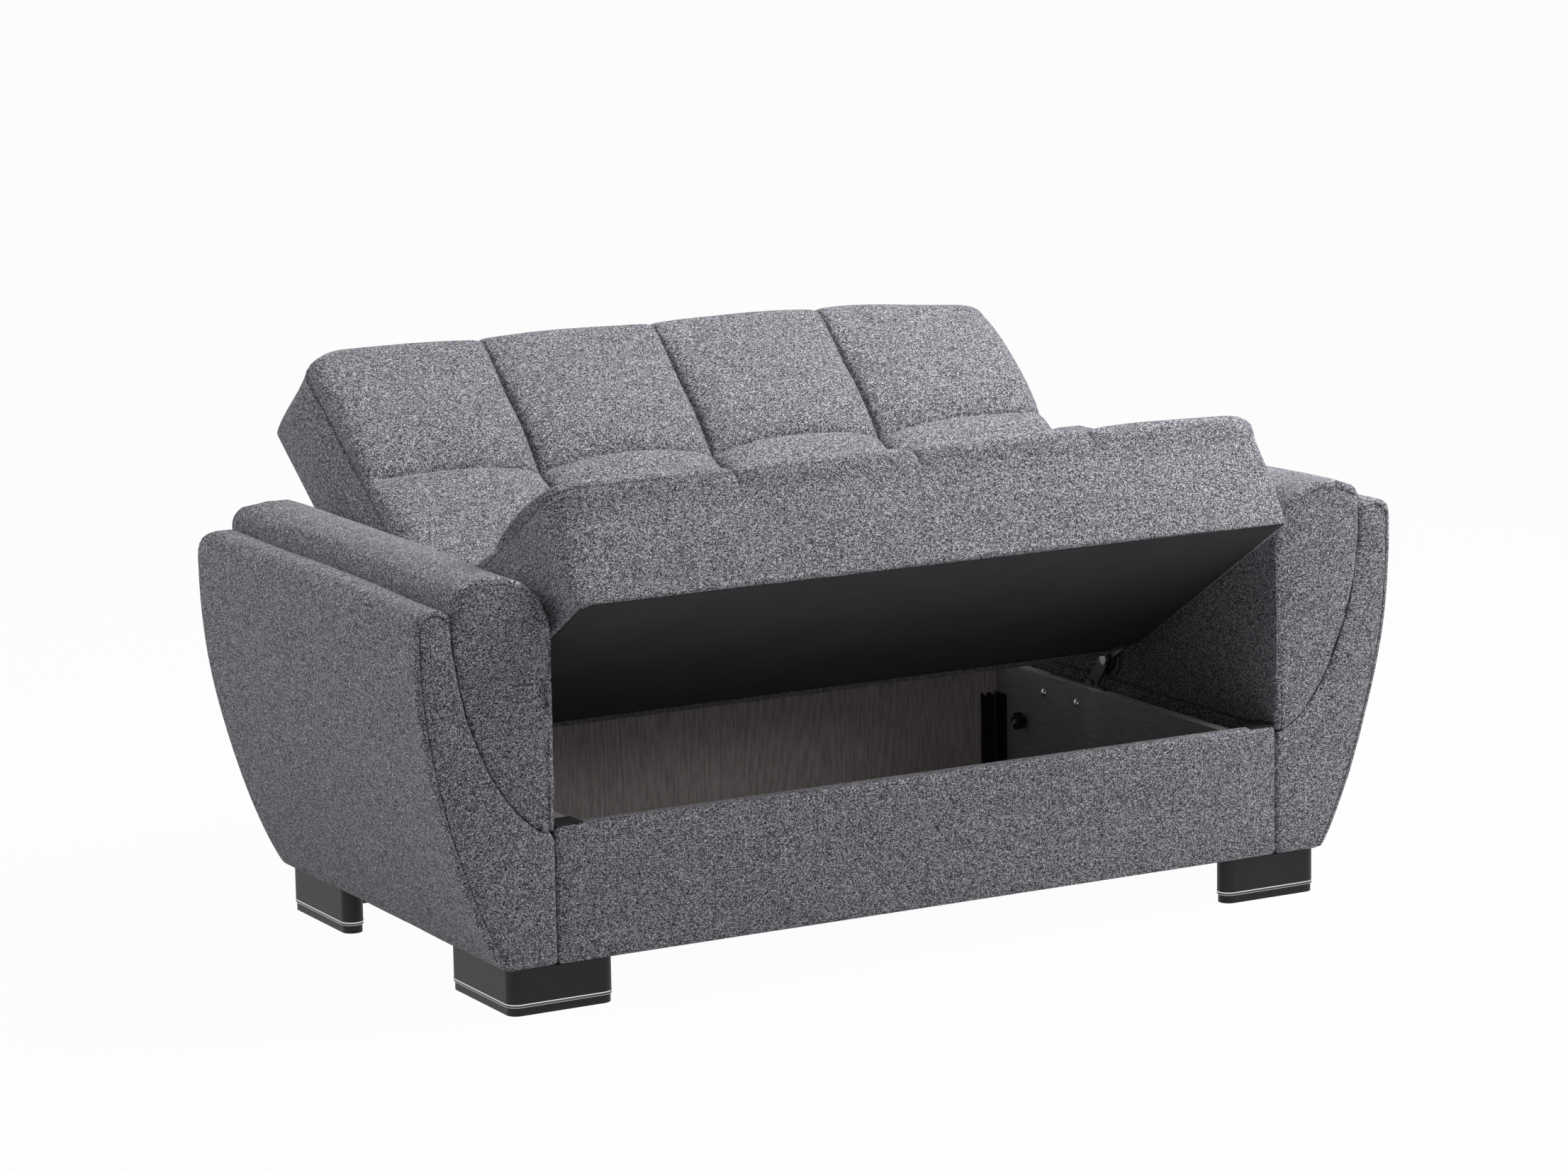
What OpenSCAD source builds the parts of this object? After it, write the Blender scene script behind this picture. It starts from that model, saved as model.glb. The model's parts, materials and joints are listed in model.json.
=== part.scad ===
// Sleeper loveseat with a click-clack back and a storage box under its lifting seat.
// X runs to the right, Y to the rear and Z up. Depths are given from the front plane of the arms.

/* [Arms and width] */
// Clear width between the two arms
inner_w = 1270; // [1100:5:1600]
// Depth of the arms from front to rear
arm_d = 800; // [780:5:880]
// Greatest thickness of an arm, at shoulder height
arm_w = 219; // [200:1:250]
// Thickness of an arm where it meets the feet
arm_foot_w = 88; // [80:1:100]
// Height of an arm's shell above its underside
shell_h = 556; // [530:1:600]
// How far the inner pad stands above the shell
pad_rise = 30; // [20:1:60]
// Width of the inner pad
pad_w = 158; // [140:1:175]
// Height above the underside at which the pad's seam leaves the inner face
seam_h = 199; // [180:1:215]
// Radius of the upper rear corner of the arms, seen from the side
arm_corner_r = 45; // [30:1:70]

/* [Storage box] */
// Height of the padded front panel
front_h = 209; // [200:1:240]
// Thickness of the padded front panel
front_t = 30; // [26:1:40]
// Thickness of the side and rear boards
board_t = 18; // [16:1:20]
// Space between a side board and the arm, where the mechanism works
mech_gap = 46; // [44:1:60]
// Depth of the box from the front plane to the rear board's outer face
box_d = 761; // [745:1:779]
// How far the side and rear boards stay below the front panel's top
board_drop = 11; // [8:1:16]
// Thickness of the floor board
floor_t = 8; // [6:1:12]
// Leg length of the moulded corner posts
post_leg = 32; // [28:1:40]
// Wall thickness of the corner posts
post_t = 5; // [4:0.5:7]
// How far the corner posts stay below the boards' top
post_drop = 54; // [40:1:70]
// Height of the wooden rail that spaces an arm from its side board
spacer_h = 60; // [40:1:70]
// Thickness of the cap plates over the front corners
cap_t = 1.5; // [1:0.5:2]

/* [Feet] */
// Height of the feet, from the floor to the underside
foot_h = 70; // [60:1:90]
// Length of a foot's front or rear wall
foot_w = 173; // [150:1:180]
// Length of a foot's side wall
foot_d = 207; // [170:1:220]
// Thickness of a foot's two walls, which meet at the outer corner
foot_wall = 36; // [30:1:44]
// Distance of the feet from the front and the rear of the arms
foot_inset = 5; // [2:1:20]
// How far a foot reaches in under the storage box
foot_in = 94; // [70:1:100]
// Height of the black glide under a foot
glide_h = 13; // [10:1:16]
// Height of the chrome ring
ring_h = 5; // [4:1:8]
// Radial thickness of the chrome ring
ring_t = 2.5; // [2:0.5:4]

/* [Seat and back] */
// Angle to which the open seat is lifted
seat_tilt = 31.6; // [25:0.1:35]
// Angle between the open back and the vertical
back_lean = 53.5; // [50:0.1:56]
// Length of the seat, from the hinge pin to its front face
seat_l = 579; // [560:1:620]
// Length of the back, from the hinge pin to its top
back_l = 699; // [660:1:760]
// Thickness of the cushions at their seams, with the frame
cushion_t = 172; // [160:1:185]
// Height of the crown between the seams
crown = 20; // [12:1:26]
// Gap between a cushion and the arms
cushion_gap = 16; // [12:1:24]
// How far the free end of a cushion leans in at its top
end_lean = 2; // [1:1:10]
// Radius of the long upper edge of a cushion
edge_r = 26; // [18:1:32]
// How far the sides of a cushion pull in between its corners
side_draw = 5; // [2:1:6]
// Share of a cushion's top that lies on the crease side of its cross seam
row_split = 0.44; // [0.3:0.01:0.6]
// Thickness of the dust cover and the rear cover
cover_t = 1.5; // [1:0.5:3]
// Angle between a cushion's underside and its crease face
crease_angle = 39.5; // [36:0.5:40]

/* [Frames] */
// Side of the square steel tube
tube_w = 25; // [20:1:28]
// Thickness of the spring wire
wire_d = 4; // [3:0.5:5]
// Distance from one run of a spring to the next
spring_pitch = 44; // [36:1:56]
// Width of a sinuous spring
spring_w = 90; // [70:1:120]
// Distance of a frame's end tube from the hinge pin
frame_near = 60; // [58:1:66]

/* [Mechanism] */
// Distance of the fixed link pivot behind the front plane
pivot_y = 482; // [470:1:500]
// How far the fixed link pivot lies below the boards' top
pivot_drop = 4; // [2:0.5:6]
// Length of the swing link between its pivots
link_l = 69; // [66:0.5:72]
// Forward swing of the link from the vertical when the seat is open
link_open = 39; // [35:0.5:42]
// Width of the swing link
link_w = 24; // [20:1:26]
// Thickness of the swing link
link_t = 5; // [4:0.5:6]
// Thickness of the mechanism plate on the side board
bracket_t = 3; // [2.5:0.5:4]
// Thickness of the hinge plates and pawls
plate_t = 4; // [3:0.5:5]
// Diameter of the hinge pins and link pivots
pin_d = 12; // [10:1:14]
// Height of the hinge pins above the underside of the seat
pin_up = 7.3; // [6:0.1:9]
// Radius over the tips of the ratchet's teeth
ratchet_r = 34; // [30:1:36]
// Depth of the ratchet's teeth
tooth_h = 4.5; // [3:0.5:6]
// Number of teeth on a ratchet
tooth_n = 12; // [8:1:16]
// Reach of the hinge plates along the frames, from the hinge pin
plate_l = 190; // [180:1:215]
// How far the mechanism plate reaches behind the link pivot
bracket_tail = 138; // [125:1:150]
// Diameter of the bolts
bolt_d = 8; // [6:1:8]
// Distance of the front arm bolts behind the front plane
arm_bolt_front = 110; // [90:5:160]
// Distance of the rear arm bolts before the box's rear face
arm_bolt_back = 107; // [90:1:150]
// Diameter of the star knobs
knob_d = 30; // [26:1:40]

/* [Hidden] */
$fn = 48;
// Clearances: round a pin, beside a moving plate, and round a loose bolt
pin_fit = 0.05;
side_fit = 0.5;
bolt_fit = 0.3;

arm_x = inner_w / 2;
pad_h = shell_h + pad_rise;
arm_bolt_rear = box_d - arm_bolt_back;
underside = foot_h;
front_top = underside + front_h;
board_top = front_top - board_drop;
board_x = arm_x - mech_gap;
board_in = board_x - board_t;
rear_in = box_d - board_t;
cushion_x = arm_x - cushion_gap;
foot_long = foot_w - foot_wall;
foot_deep = foot_d - foot_wall;
foot_cx = arm_x - foot_in + foot_w - foot_wall / 2;
foot_front_y = foot_inset + foot_wall / 2;
foot_rear_y = arm_d - foot_front_y;
foot_bolts_at = [[-0.28 * foot_long, 0], [0, 0.55 * foot_deep]];

// The link's fixed pivot, and the hinge pin at rest, with the seat open
pivot_z = board_top - pivot_drop;
hinge_y = pivot_y - link_l * sin(link_open);
hinge_z = pivot_z + link_l * cos(link_open);

// Layers of the mechanism, outward from the side board
link_x = board_x + bracket_t + side_fit;
seat_plate_x = link_x + link_t + side_fit;
back_plate_x = seat_plate_x + plate_t + side_fit;
pin_end_x = back_plate_x + plate_t + side_fit / 2;
pin_head_r = pin_d / 2 + 3;
pin_head_t = 2.5;

// Heights within seat and back, from the plane of the hinge pins
w_bottom = -pin_up;
w_frame = w_bottom + cover_t;
w_spring = w_frame + tube_w;
w_pocket = w_spring + wire_d + 1;
w_seam = w_bottom + cushion_t;
skirt_side = cushion_x - (pin_end_x + pin_head_t + side_fit);
skirt_end = 22;
top_near = w_seam / tan(crease_angle);
corner_r = 9;
notch_s = frame_near + 20;
notch_x = link_x - 4;

// Pawl pivot, in the seat's own directions, and the gap of the lifted pawl to the teeth
pawl_s = 50;
pawl_w = 14;
pawl_r = 9;
pawl_gap = 0.6;
pawl_turn = 22;

// Bracket plate on the side board, and its bolts
bracket_front = pivot_y - 62;
bracket_rear = pivot_y + bracket_tail;
bracket_h = 56;
bracket_bolt_z = board_top - 31;
bracket_bolts_y = [pivot_y + 7, pivot_y + 109];
ear_r = 14;
rivet_n = 5;
arm_bolt_z = board_top - 89;
arm_bolts_y = [arm_bolt_front, arm_bolt_rear];
plate_bolts_s = [0.58 * plate_l, 0.9 * plate_l];
plate_bolt_w = w_frame + tube_w / 2;

// The origin lies below the middle of the resting object, so depths are shifted by frame_y
front_most = hinge_y - (seat_l - corner_r) * cos(seat_tilt) + (w_bottom + corner_r) * sin(seat_tilt)
    - corner_r;
rear_most = hinge_y + (back_l - corner_r) * sin(back_lean) - (w_bottom + corner_r) * cos(back_lean)
    + corner_r;
frame_y = -(front_most + rear_most) / 2;

// Curve through four control points
function bezier(a, b, c, d, t) =
    pow(1 - t, 3) * a + 3 * t * pow(1 - t, 2) * b + 3 * t * t * (1 - t) * c + pow(t, 3) * d;
function bezier_run(a, b, c, d, n) = [for (i = [0:n]) bezier(a, b, c, d, i / n)];
function bolt_bore() = bolt_d + 2 * bolt_fit;

module in_place() {
    translate([0, frame_y, 0]) children();
}

module on_side(side) {
    if (side > 0) children();
    else mirror([1, 0, 0]) children();
}

module both_sides() {
    on_side(1) children();
    on_side(-1) children();
}

// A profile in Y and Z, made thick along X
module slab_x(x, t) {
    translate([x, 0, 0]) rotate([90, 0, 90]) linear_extrude(height = t) children();
}

// A round bar along X
module bar_x(x, y, z, d, length) {
    translate([x, y, z]) rotate([0, 90, 0]) cylinder(d = d, h = length);
}

// Seat and back are drawn lying flat, from the hinge pin outward along +Y
module seat_pose() {
    in_place() translate([0, hinge_y, hinge_z]) rotate([-seat_tilt, 0, 0])
        mirror([0, 1, 0]) children();
}

module back_pose() {
    in_place() translate([0, hinge_y, hinge_z]) rotate([90 - back_lean, 0, 0]) children();
}

// Arms

function seam_curve() = bezier_run([arm_x, underside + seam_h],
    [arm_x + 0.44 * pad_w, underside + seam_h + 4],
    [arm_x + pad_w, underside + seam_h + 0.45 * (shell_h - seam_h)],
    [arm_x + pad_w, underside + shell_h - 22], 14);

function shell_outline() = concat([[arm_x, underside]],
    bezier_run([arm_x + arm_foot_w, underside],
        [arm_x + arm_foot_w + 53, underside + 76],
        [arm_x + arm_w, underside + 0.54 * shell_h],
        [arm_x + arm_w, underside + 0.87 * shell_h], 14),
    bezier_run([arm_x + arm_w, underside + shell_h - 34],
        [arm_x + arm_w, underside + shell_h - 6],
        [arm_x + pad_w + 14, underside + shell_h + 8],
        [arm_x + pad_w, underside + shell_h - 22], 10),
    [for (i = [13:-1:0]) seam_curve()[i]]);

function pad_outline() = concat(seam_curve(),
    bezier_run([arm_x + pad_w, underside + pad_h - 40],
        [arm_x + pad_w, underside + pad_h - 14],
        [arm_x + pad_w - 26, underside + pad_h],
        [arm_x + 0.62 * pad_w, underside + pad_h], 6),
    [for (i = [1:10]) bezier([arm_x + 0.62 * pad_w, underside + pad_h],
        [arm_x + 0.28 * pad_w, underside + pad_h],
        [arm_x, underside + pad_h - 34],
        [arm_x, underside + pad_h - 101], i / 10)]);

// A front outline run back along the arm, with its upper rear corner rounded
module arm_body(height) {
    top = underside + height;
    intersection() {
        translate([0, arm_d, 0]) rotate([90, 0, 0]) linear_extrude(height = arm_d) children();
        slab_x(arm_x - 1, arm_w + 2) {
            translate([0, underside]) square([arm_d, height - arm_corner_r]);
            translate([0, underside]) square([arm_d - arm_corner_r, height]);
            translate([arm_d - arm_corner_r, top - arm_corner_r]) circle(arm_corner_r);
        }
    }
}

module arm_shell(side) {
    color([0.33, 0.33, 0.36]) on_side(side) in_place() difference() {
        arm_body(shell_h) polygon(shell_outline());
        for (y = arm_bolts_y) bar_x(arm_x - 1, y, arm_bolt_z, bolt_bore(), 52);
        for (y = [foot_front_y, foot_rear_y]) at_foot(y) for (p = foot_bolts_at)
            translate([p[0], p[1], underside - 1]) cylinder(d = bolt_bore(), h = 36);
    }
}

module arm_pad(side) {
    color([0.36, 0.36, 0.39]) on_side(side) in_place() arm_body(pad_h) polygon(pad_outline());
}

module arm_bolts() {
    color([0.5, 0.5, 0.52]) both_sides() in_place() for (y = arm_bolts_y)
        bar_x(board_in - 22, y, arm_bolt_z, bolt_d, mech_gap + board_t + 22 + 50);
}

module star_outline() {
    circle(0.32 * knob_d);
    for (i = [0:4]) rotate(i * 72) translate([0.33 * knob_d, 0]) circle(0.17 * knob_d);
}

module star_knobs() {
    color([0.05, 0.05, 0.06]) both_sides() in_place() for (y = arm_bolts_y)
        difference() {
            translate([0, y, arm_bolt_z]) {
                slab_x(board_in - 18, 12) star_outline();
                bar_x(board_in - 6, 0, 0, 0.5 * knob_d, 6);
            }
            bar_x(board_in - 30, y, arm_bolt_z, bolt_bore(), 40);
        }
}

// Storage box

module front_panel() {
    color([0.34, 0.34, 0.37]) in_place()
        translate([-arm_x, 0, underside]) cube([inner_w, front_t, front_h]);
}

module rear_panel() {
    color([0.30, 0.27, 0.25]) in_place()
        translate([-arm_x, rear_in, underside]) cube([inner_w, board_t, board_top - underside]);
}

module side_panel(side) {
    color([0.32, 0.29, 0.27]) on_side(side) in_place() difference() {
        translate([board_in, front_t, underside])
            cube([board_t, rear_in - front_t, board_top - underside]);
        for (y = arm_bolts_y) bar_x(board_in - 1, y, arm_bolt_z, bolt_bore(), board_t + 2);
        for (y = bracket_bolts_y)
            bar_x(board_in - 1, y, bracket_bolt_z, bolt_bore(), board_t + 2);
    }
}

module floor_panel() {
    color([0.25, 0.22, 0.2]) in_place() translate([-board_in, front_t, underside])
        cube([2 * board_in, rear_in - front_t, floor_t]);
}

// An angle of moulded plastic with a scalloped top, standing in a corner of the box
module corner_post() {
    base = underside + floor_t;
    height = board_top - post_drop - base;
    difference() {
        translate([board_in - post_leg, rear_in - post_leg, base])
            cube([post_leg, post_leg, height]);
        translate([board_in - post_leg - 1, rear_in - post_leg - 1, base - 1])
            cube([post_leg - post_t - 5, post_leg - post_t + 1, height + 2]);
        translate([board_in - post_leg - 1, rear_in - post_leg - 1, base - 1])
            cube([post_leg - post_t + 1, post_leg - post_t - 5, height + 2]);
        translate([board_in - post_t - 6, rear_in - post_t - 6, base - 1])
            cylinder(r = 6, h = height + 2);
        for (k = [0.3, 0.75]) translate([board_in - k * post_leg, rear_in - 2 * post_leg,
            base + height]) rotate([-90, 0, 0]) cylinder(r = 5, h = 3 * post_leg);
    }
}

module corner_posts() {
    color([0.04, 0.04, 0.05]) both_sides() in_place() {
        corner_post();
        translate([0, front_t + rear_in, 0]) mirror([0, 1, 0]) corner_post();
    }
}

module corner_caps() {
    color([0.04, 0.04, 0.05]) both_sides() in_place() {
        translate([board_x, 3, front_top]) cube([mech_gap, front_t + 13, cap_t]);
        translate([board_x, front_t, front_top - 10]) cube([mech_gap, 3, 10]);
    }
}

module spacer_rail(side) {
    color([0.62, 0.5, 0.35]) on_side(side) in_place() difference() {
        translate([board_x, front_t, arm_bolt_z - spacer_h / 2 - 8])
            cube([mech_gap, rear_in - front_t, spacer_h]);
        for (y = arm_bolts_y) bar_x(board_x - 1, y, arm_bolt_z, bolt_bore(), mech_gap + 2);
    }
}

// Feet

// Outline of a foot from above, grown by spread; the outer corner's centre is its origin
module foot_plan(spread) {
    r = foot_wall / 2 + spread;
    circle(r);
    translate([-foot_long, 0]) circle(r);
    translate([-foot_long, -r]) square([foot_long, 2 * r]);
    translate([0, foot_deep]) circle(r);
    translate([-r, 0]) square([2 * r, foot_deep]);
}

module at_foot(y) {
    translate([foot_cx, y, 0])
        if (y < arm_d / 2) children();
        else mirror([0, 1, 0]) children();
}

module foot(side, y) {
    color([0.04, 0.04, 0.05]) on_side(side) in_place() at_foot(y) difference() {
        union() {
            translate([0, 0, glide_h + ring_h]) linear_extrude(height = foot_h - glide_h - ring_h)
                foot_plan(0);
            translate([0, 0, glide_h]) linear_extrude(height = ring_h) foot_plan(-ring_t);
        }
        for (p = foot_bolts_at) translate([p[0], p[1], 0]) {
            cylinder(d = bolt_bore(), h = foot_h + 1);
            cylinder(d = 2.4 * bolt_d, h = foot_h - 30);
        }
    }
}

module each_foot() {
    both_sides() in_place() for (y = [foot_front_y, foot_rear_y]) at_foot(y) children();
}

module foot_rings() {
    color([0.8, 0.8, 0.82]) each_foot() translate([0, 0, glide_h]) linear_extrude(height = ring_h)
        difference() {
            foot_plan(0.5);
            foot_plan(-ring_t);
        }
}

module foot_glides() {
    color([0.05, 0.05, 0.05]) each_foot() linear_extrude(height = glide_h) foot_plan(-1.5);
}

module foot_bolts() {
    color([0.55, 0.55, 0.57]) each_foot() for (p = foot_bolts_at)
        translate([p[0], p[1], foot_h - 30 - 5]) {
            cylinder(d = 2 * bolt_d, h = 5);
            cylinder(d = bolt_d, h = 60);
        }
}

// Mechanism on the storage box

module bracket(side) {
    color([0.16, 0.16, 0.17]) on_side(side) in_place() difference() {
        union() {
            slab_x(board_x, bracket_t) {
                translate([bracket_front, board_top - bracket_h])
                    square([bracket_rear - bracket_front, bracket_h]);
                translate([pivot_y, pivot_z]) circle(ear_r);
            }
            translate([board_x - 9, bracket_front, board_top])
                cube([9 + bracket_t, bracket_rear - bracket_front - 35, 3]);
            for (i = [0:rivet_n - 1]) translate([board_x - 4,
                bracket_front + 12 + i * (bracket_rear - bracket_front - 60) / (rivet_n - 1),
                board_top + 3]) cylinder(d = 5, h = 1.6);
        }
        for (y = bracket_bolts_y)
            bar_x(board_x - 1, y, bracket_bolt_z, bolt_bore(), bracket_t + 2);
        bar_x(board_x - 1, pivot_y, pivot_z, pin_d + 2 * pin_fit, bracket_t + 2);
    }
}

module bracket_bolts() {
    color([0.6, 0.6, 0.62]) both_sides() in_place() for (y = bracket_bolts_y) {
        bar_x(board_in, y, bracket_bolt_z, bolt_d, board_t + bracket_t + 7);
        bar_x(board_in - 1.2, y, bracket_bolt_z, 2.4 * bolt_d, 1.2);
        intersection() {
            translate([board_in + 2.8, y, bracket_bolt_z]) sphere(d = 2 * bolt_d);
            translate([board_in - 1.2 - bolt_d, y - bolt_d, bracket_bolt_z - bolt_d])
                cube([bolt_d, 2 * bolt_d, 2 * bolt_d]);
        }
        translate([board_x + bracket_t, y, bracket_bolt_z]) rotate([0, 90, 0])
            cylinder(d = 1.8 * bolt_d, h = 0.8 * bolt_d, $fn = 6);
    }
}

module link_pivots() {
    color([0.7, 0.7, 0.72]) both_sides() in_place() {
        bar_x(board_x, pivot_y, pivot_z, pin_d, link_x + link_t + side_fit - board_x);
        bar_x(link_x + link_t + side_fit, pivot_y, pivot_z, 2 * pin_head_r, pin_head_t);
    }
}

// The strap is drawn standing on its fixed pivot, then swung to its open place
module swing_link(side) {
    color([0.2, 0.2, 0.21]) on_side(side) in_place()
        translate([0, pivot_y, pivot_z]) rotate([link_open, 0, 0]) slab_x(link_x, link_t)
            difference() {
                union() {
                    translate([-link_w / 2, 0]) square([link_w, link_l]);
                    circle(d = link_w);
                    translate([0, link_l]) circle(d = link_w);
                }
                circle(d = pin_d + 2 * pin_fit);
                translate([0, link_l]) circle(d = pin_d + 2 * pin_fit);
            }
}

module hinge_pin(side) {
    color([0.7, 0.7, 0.72]) on_side(side) in_place() {
        bar_x(link_x - side_fit / 2 - pin_head_t, hinge_y, hinge_z, 2 * pin_head_r, pin_head_t);
        bar_x(link_x - side_fit / 2, hinge_y, hinge_z, pin_d, pin_end_x - link_x + side_fit / 2);
        bar_x(pin_end_x, hinge_y, hinge_z, 2 * pin_head_r, pin_head_t);
    }
}

// Frames and springs of seat and back

module tube_frame(half_w, length) {
    far = length - skirt_end - 1;
    difference() {
        translate([-half_w, frame_near, w_frame]) cube([2 * half_w, far - frame_near, tube_w]);
        translate([-half_w + tube_w, frame_near + tube_w, w_frame - 1])
            cube([2 * (half_w - tube_w), far - frame_near - 2 * tube_w, tube_w + 2]);
        for (x = [-1, 1], s = plate_bolts_s)
            translate([x * (half_w - tube_w / 2), s, plate_bolt_w]) rotate([0, 90, 0])
                cylinder(d = bolt_bore(), h = tube_w + 2, center = true);
    }
}

module half_ring(dir) {
    r = spring_pitch / 2;
    intersection() {
        difference() {
            circle(r + wire_d / 2);
            circle(r - wire_d / 2);
        }
        translate([dir > 0 ? 0 : -2 * r, -2 * r]) square([2 * r, 4 * r]);
    }
}

// Flat zigzag springs, one under each channel, hooked over the end tubes of the frame
module springs(length) {
    near = frame_near + tube_w / 2;
    far = length - skirt_end - 1 - tube_w / 2;
    runs = floor((far - near) / spring_pitch);
    start = (near + far - runs * spring_pitch) / 2;
    bar = spring_w - spring_pitch;
    translate([0, 0, w_spring]) linear_extrude(height = wire_d) for (c = [0:3])
        translate([(c - 1.5) * cushion_x / 2, start]) {
            for (i = [0:runs]) translate([-bar / 2, i * spring_pitch - wire_d / 2])
                square([bar, wire_d]);
            for (i = [0:runs - 1]) translate([(i % 2 == 0 ? 1 : -1) * bar / 2,
                (i + 0.5) * spring_pitch]) half_ring(i % 2 == 0 ? 1 : -1);
            for (y = [near - start, far - start]) translate([-bar / 2,
                y > 0 ? runs * spring_pitch : y]) square([wire_d, abs(y > 0 ?
                y - runs * spring_pitch : y) + wire_d / 2]);
        }
}

// Cushions: closed skins swept across the width, with crowned channels and a pocket below

function puff(u) = 1 - pow(abs(2 * u - 1), 2.4);
function channel(x) = let (u = (x + cushion_x) / (cushion_x / 2)) puff(u - floor(min(u, 3.999)));
function row_puff(t) = t < row_split ? puff(t / row_split) : puff((t - row_split) / (1 - row_split));

// Outline of a cushion's section at x, from the crease end below round its free end and back.
// Between the skirts the underside is recessed for the frame; beside the hinges it starts later.
function cushion_loop(length, x, recess, near) = let (
    far_top = length - end_lean,
    top_start = top_near + 12,
    top_end = far_top - edge_r,
    lift = crown * channel(x),
    floor_w = recess ? w_pocket : w_bottom) concat(
    [[near, floor_w], [recess ? length - skirt_end : length / 2, floor_w],
        [length - skirt_end, w_bottom], [length - corner_r, w_bottom]],
    [for (a = [45, 90]) [length - corner_r + corner_r * sin(a),
        w_bottom + corner_r - corner_r * cos(a)]],
    [[length - end_lean / 2 + 2, (w_bottom + w_seam) / 2]],
    [for (a = [0:30:60]) [top_end + edge_r * cos(a),
        w_seam - edge_r + edge_r * sin(a) + lift * 0.35 * sin(a)]],
    [for (i = [12:-1:0]) let (t = i / 12) [top_start + t * (top_end - top_start),
        w_seam + lift * (0.25 + 0.75 * row_puff(t)) * (i == 12 ? 0.7 : 1)]],
    [[top_near - 4, w_seam - 9], [near, near * tan(crease_angle)]]);

// Stations across the width as [x, pinch of the edge, recess, near end]
function stations() = let (steps = [0.12, 0.3, 0.5, 0.7, 0.88, 1], inside = cushion_x - skirt_side,
    right = [[notch_x - 2, 0, true, frame_near], [notch_x, 0, true, notch_s],
        [inside, 0, true, notch_s], [inside + 0.5, 0, false, notch_s],
        [cushion_x - 3, 5, false, notch_s], [cushion_x, 12, false, notch_s]]) concat(
    [for (i = [5:-1:0]) [-right[i][0], right[i][1], right[i][2], right[i][3]]],
    [for (c = [0:3], u = steps) let (x = -cushion_x + (c + u) * cushion_x / 2)
        if (abs(x) < notch_x - 8) [x, 0, true, frame_near]],
    right);

function cushion_point(p, x, pinch, length) = let (
    mid = [(length + frame_near) / 2, (w_bottom + w_seam) / 2],
    half = [(length - frame_near) / 2, cushion_t / 2],
    t = (p[0] - frame_near) / (length - frame_near),
    pull = pinch > 0 ? min(side_draw, skirt_side - 4) * (1 - pow(2 * t - 1, 2)) : 0) [
    x - sign(x) * pull,
    mid[0] + (p[0] - mid[0]) * (1 - pinch / half[0]),
    mid[1] + (p[1] - mid[1]) * (1 - pinch / half[1])];

// A closed skin swept across the width, fan-closed at both sides
module cushion(length) {
    sections = stations();
    loops = [for (s = sections) [for (p = cushion_loop(length, s[0], s[2], s[3]))
        cushion_point(p, s[0], s[1], length)]];
    n = len(loops[0]);
    last = len(sections) - 1;
    points = [for (l = loops, p = l) p];
    sides = [for (i = [0:last - 1], j = [0:n - 1], k = [0, 1]) let (
        a = i * n + j,
        b = i * n + (j + 1) % n,
        c = a + n,
        d = b + n) k == 0 ? [a, b, d] : [a, d, c]];
    ends = [for (j = [1:n - 2], k = [0, 1])
        k == 0 ? [0, j + 1, j] : [last * n, last * n + j, last * n + j + 1]];
    polyhedron(points, concat(sides, ends));
}

module cover(length) {
    inside = cushion_x - skirt_side - 0.5;
    translate([-inside, notch_s, w_bottom])
        cube([2 * inside, length - skirt_end - 0.5 - notch_s, cover_t]);
    translate([-seat_plate_x + 12, frame_near, w_bottom])
        cube([2 * (seat_plate_x - 12), notch_s - frame_near, cover_t]);
}

// Hinge plates, ratchet and pawls

module plate_arm() {
    translate([0, w_frame]) square([plate_l - tube_w / 2, tube_w]);
    translate([plate_l - tube_w / 2, plate_bolt_w]) circle(d = tube_w);
}

module seat_plate(side) {
    color([0.2, 0.2, 0.21]) on_side(side) seat_pose() {
        slab_x(seat_plate_x, plate_t) difference() {
            union() {
                plate_arm();
                circle(1.5 * pin_d);
                translate([pawl_s, pawl_w]) circle(pawl_r);
            }
            circle(d = pin_d + 2 * pin_fit);
            for (s = plate_bolts_s) translate([s, plate_bolt_w]) circle(d = bolt_bore());
        }
        bar_x(seat_plate_x + plate_t, pawl_s, pawl_w, 0.6 * pawl_r,
            back_plate_x + plate_t - seat_plate_x - plate_t + 1);
    }
}

module pawl(side) {
    to_pin = atan2(pawl_w, pawl_s);
    reach = ratchet_r + pawl_gap;
    nose = [reach * cos(to_pin + pawl_turn), reach * sin(to_pin + pawl_turn)];
    pin = [pawl_s, pawl_w];
    along = (nose - pin) / norm(nose - pin);
    across = [-along[1], along[0]];
    color([0.45, 0.45, 0.47]) on_side(side) seat_pose() slab_x(back_plate_x, plate_t)
        difference() {
            union() {
                translate(pin) circle(pawl_r);
                polygon([pin + pawl_r * across, pin - pawl_r * across,
                    nose - 3 * across - 2 * along, nose, nose + across - 1.5 * along]);
            }
            translate(pin) circle(d = 0.6 * pawl_r + 2 * pin_fit);
        }
}

module ratchet_outline() {
    root = ratchet_r - tooth_h;
    span = 115;
    first = 60;
    circle(root);
    polygon(concat([[0, 0]], [for (i = [0:tooth_n - 1], k = [0, 1]) let (
        a = first + span * (i + k * 0.85) / tooth_n,
        r = k == 0 ? root - 1 : ratchet_r) [r * cos(a), r * sin(a)]]));
}

module back_plate(side) {
    color([0.2, 0.2, 0.21]) on_side(side) back_pose() slab_x(back_plate_x, plate_t)
        difference() {
            union() {
                plate_arm();
                ratchet_outline();
            }
            circle(d = pin_d + 2 * pin_fit);
            for (s = plate_bolts_s) translate([s, plate_bolt_w]) circle(d = bolt_bore());
        }
}

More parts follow.
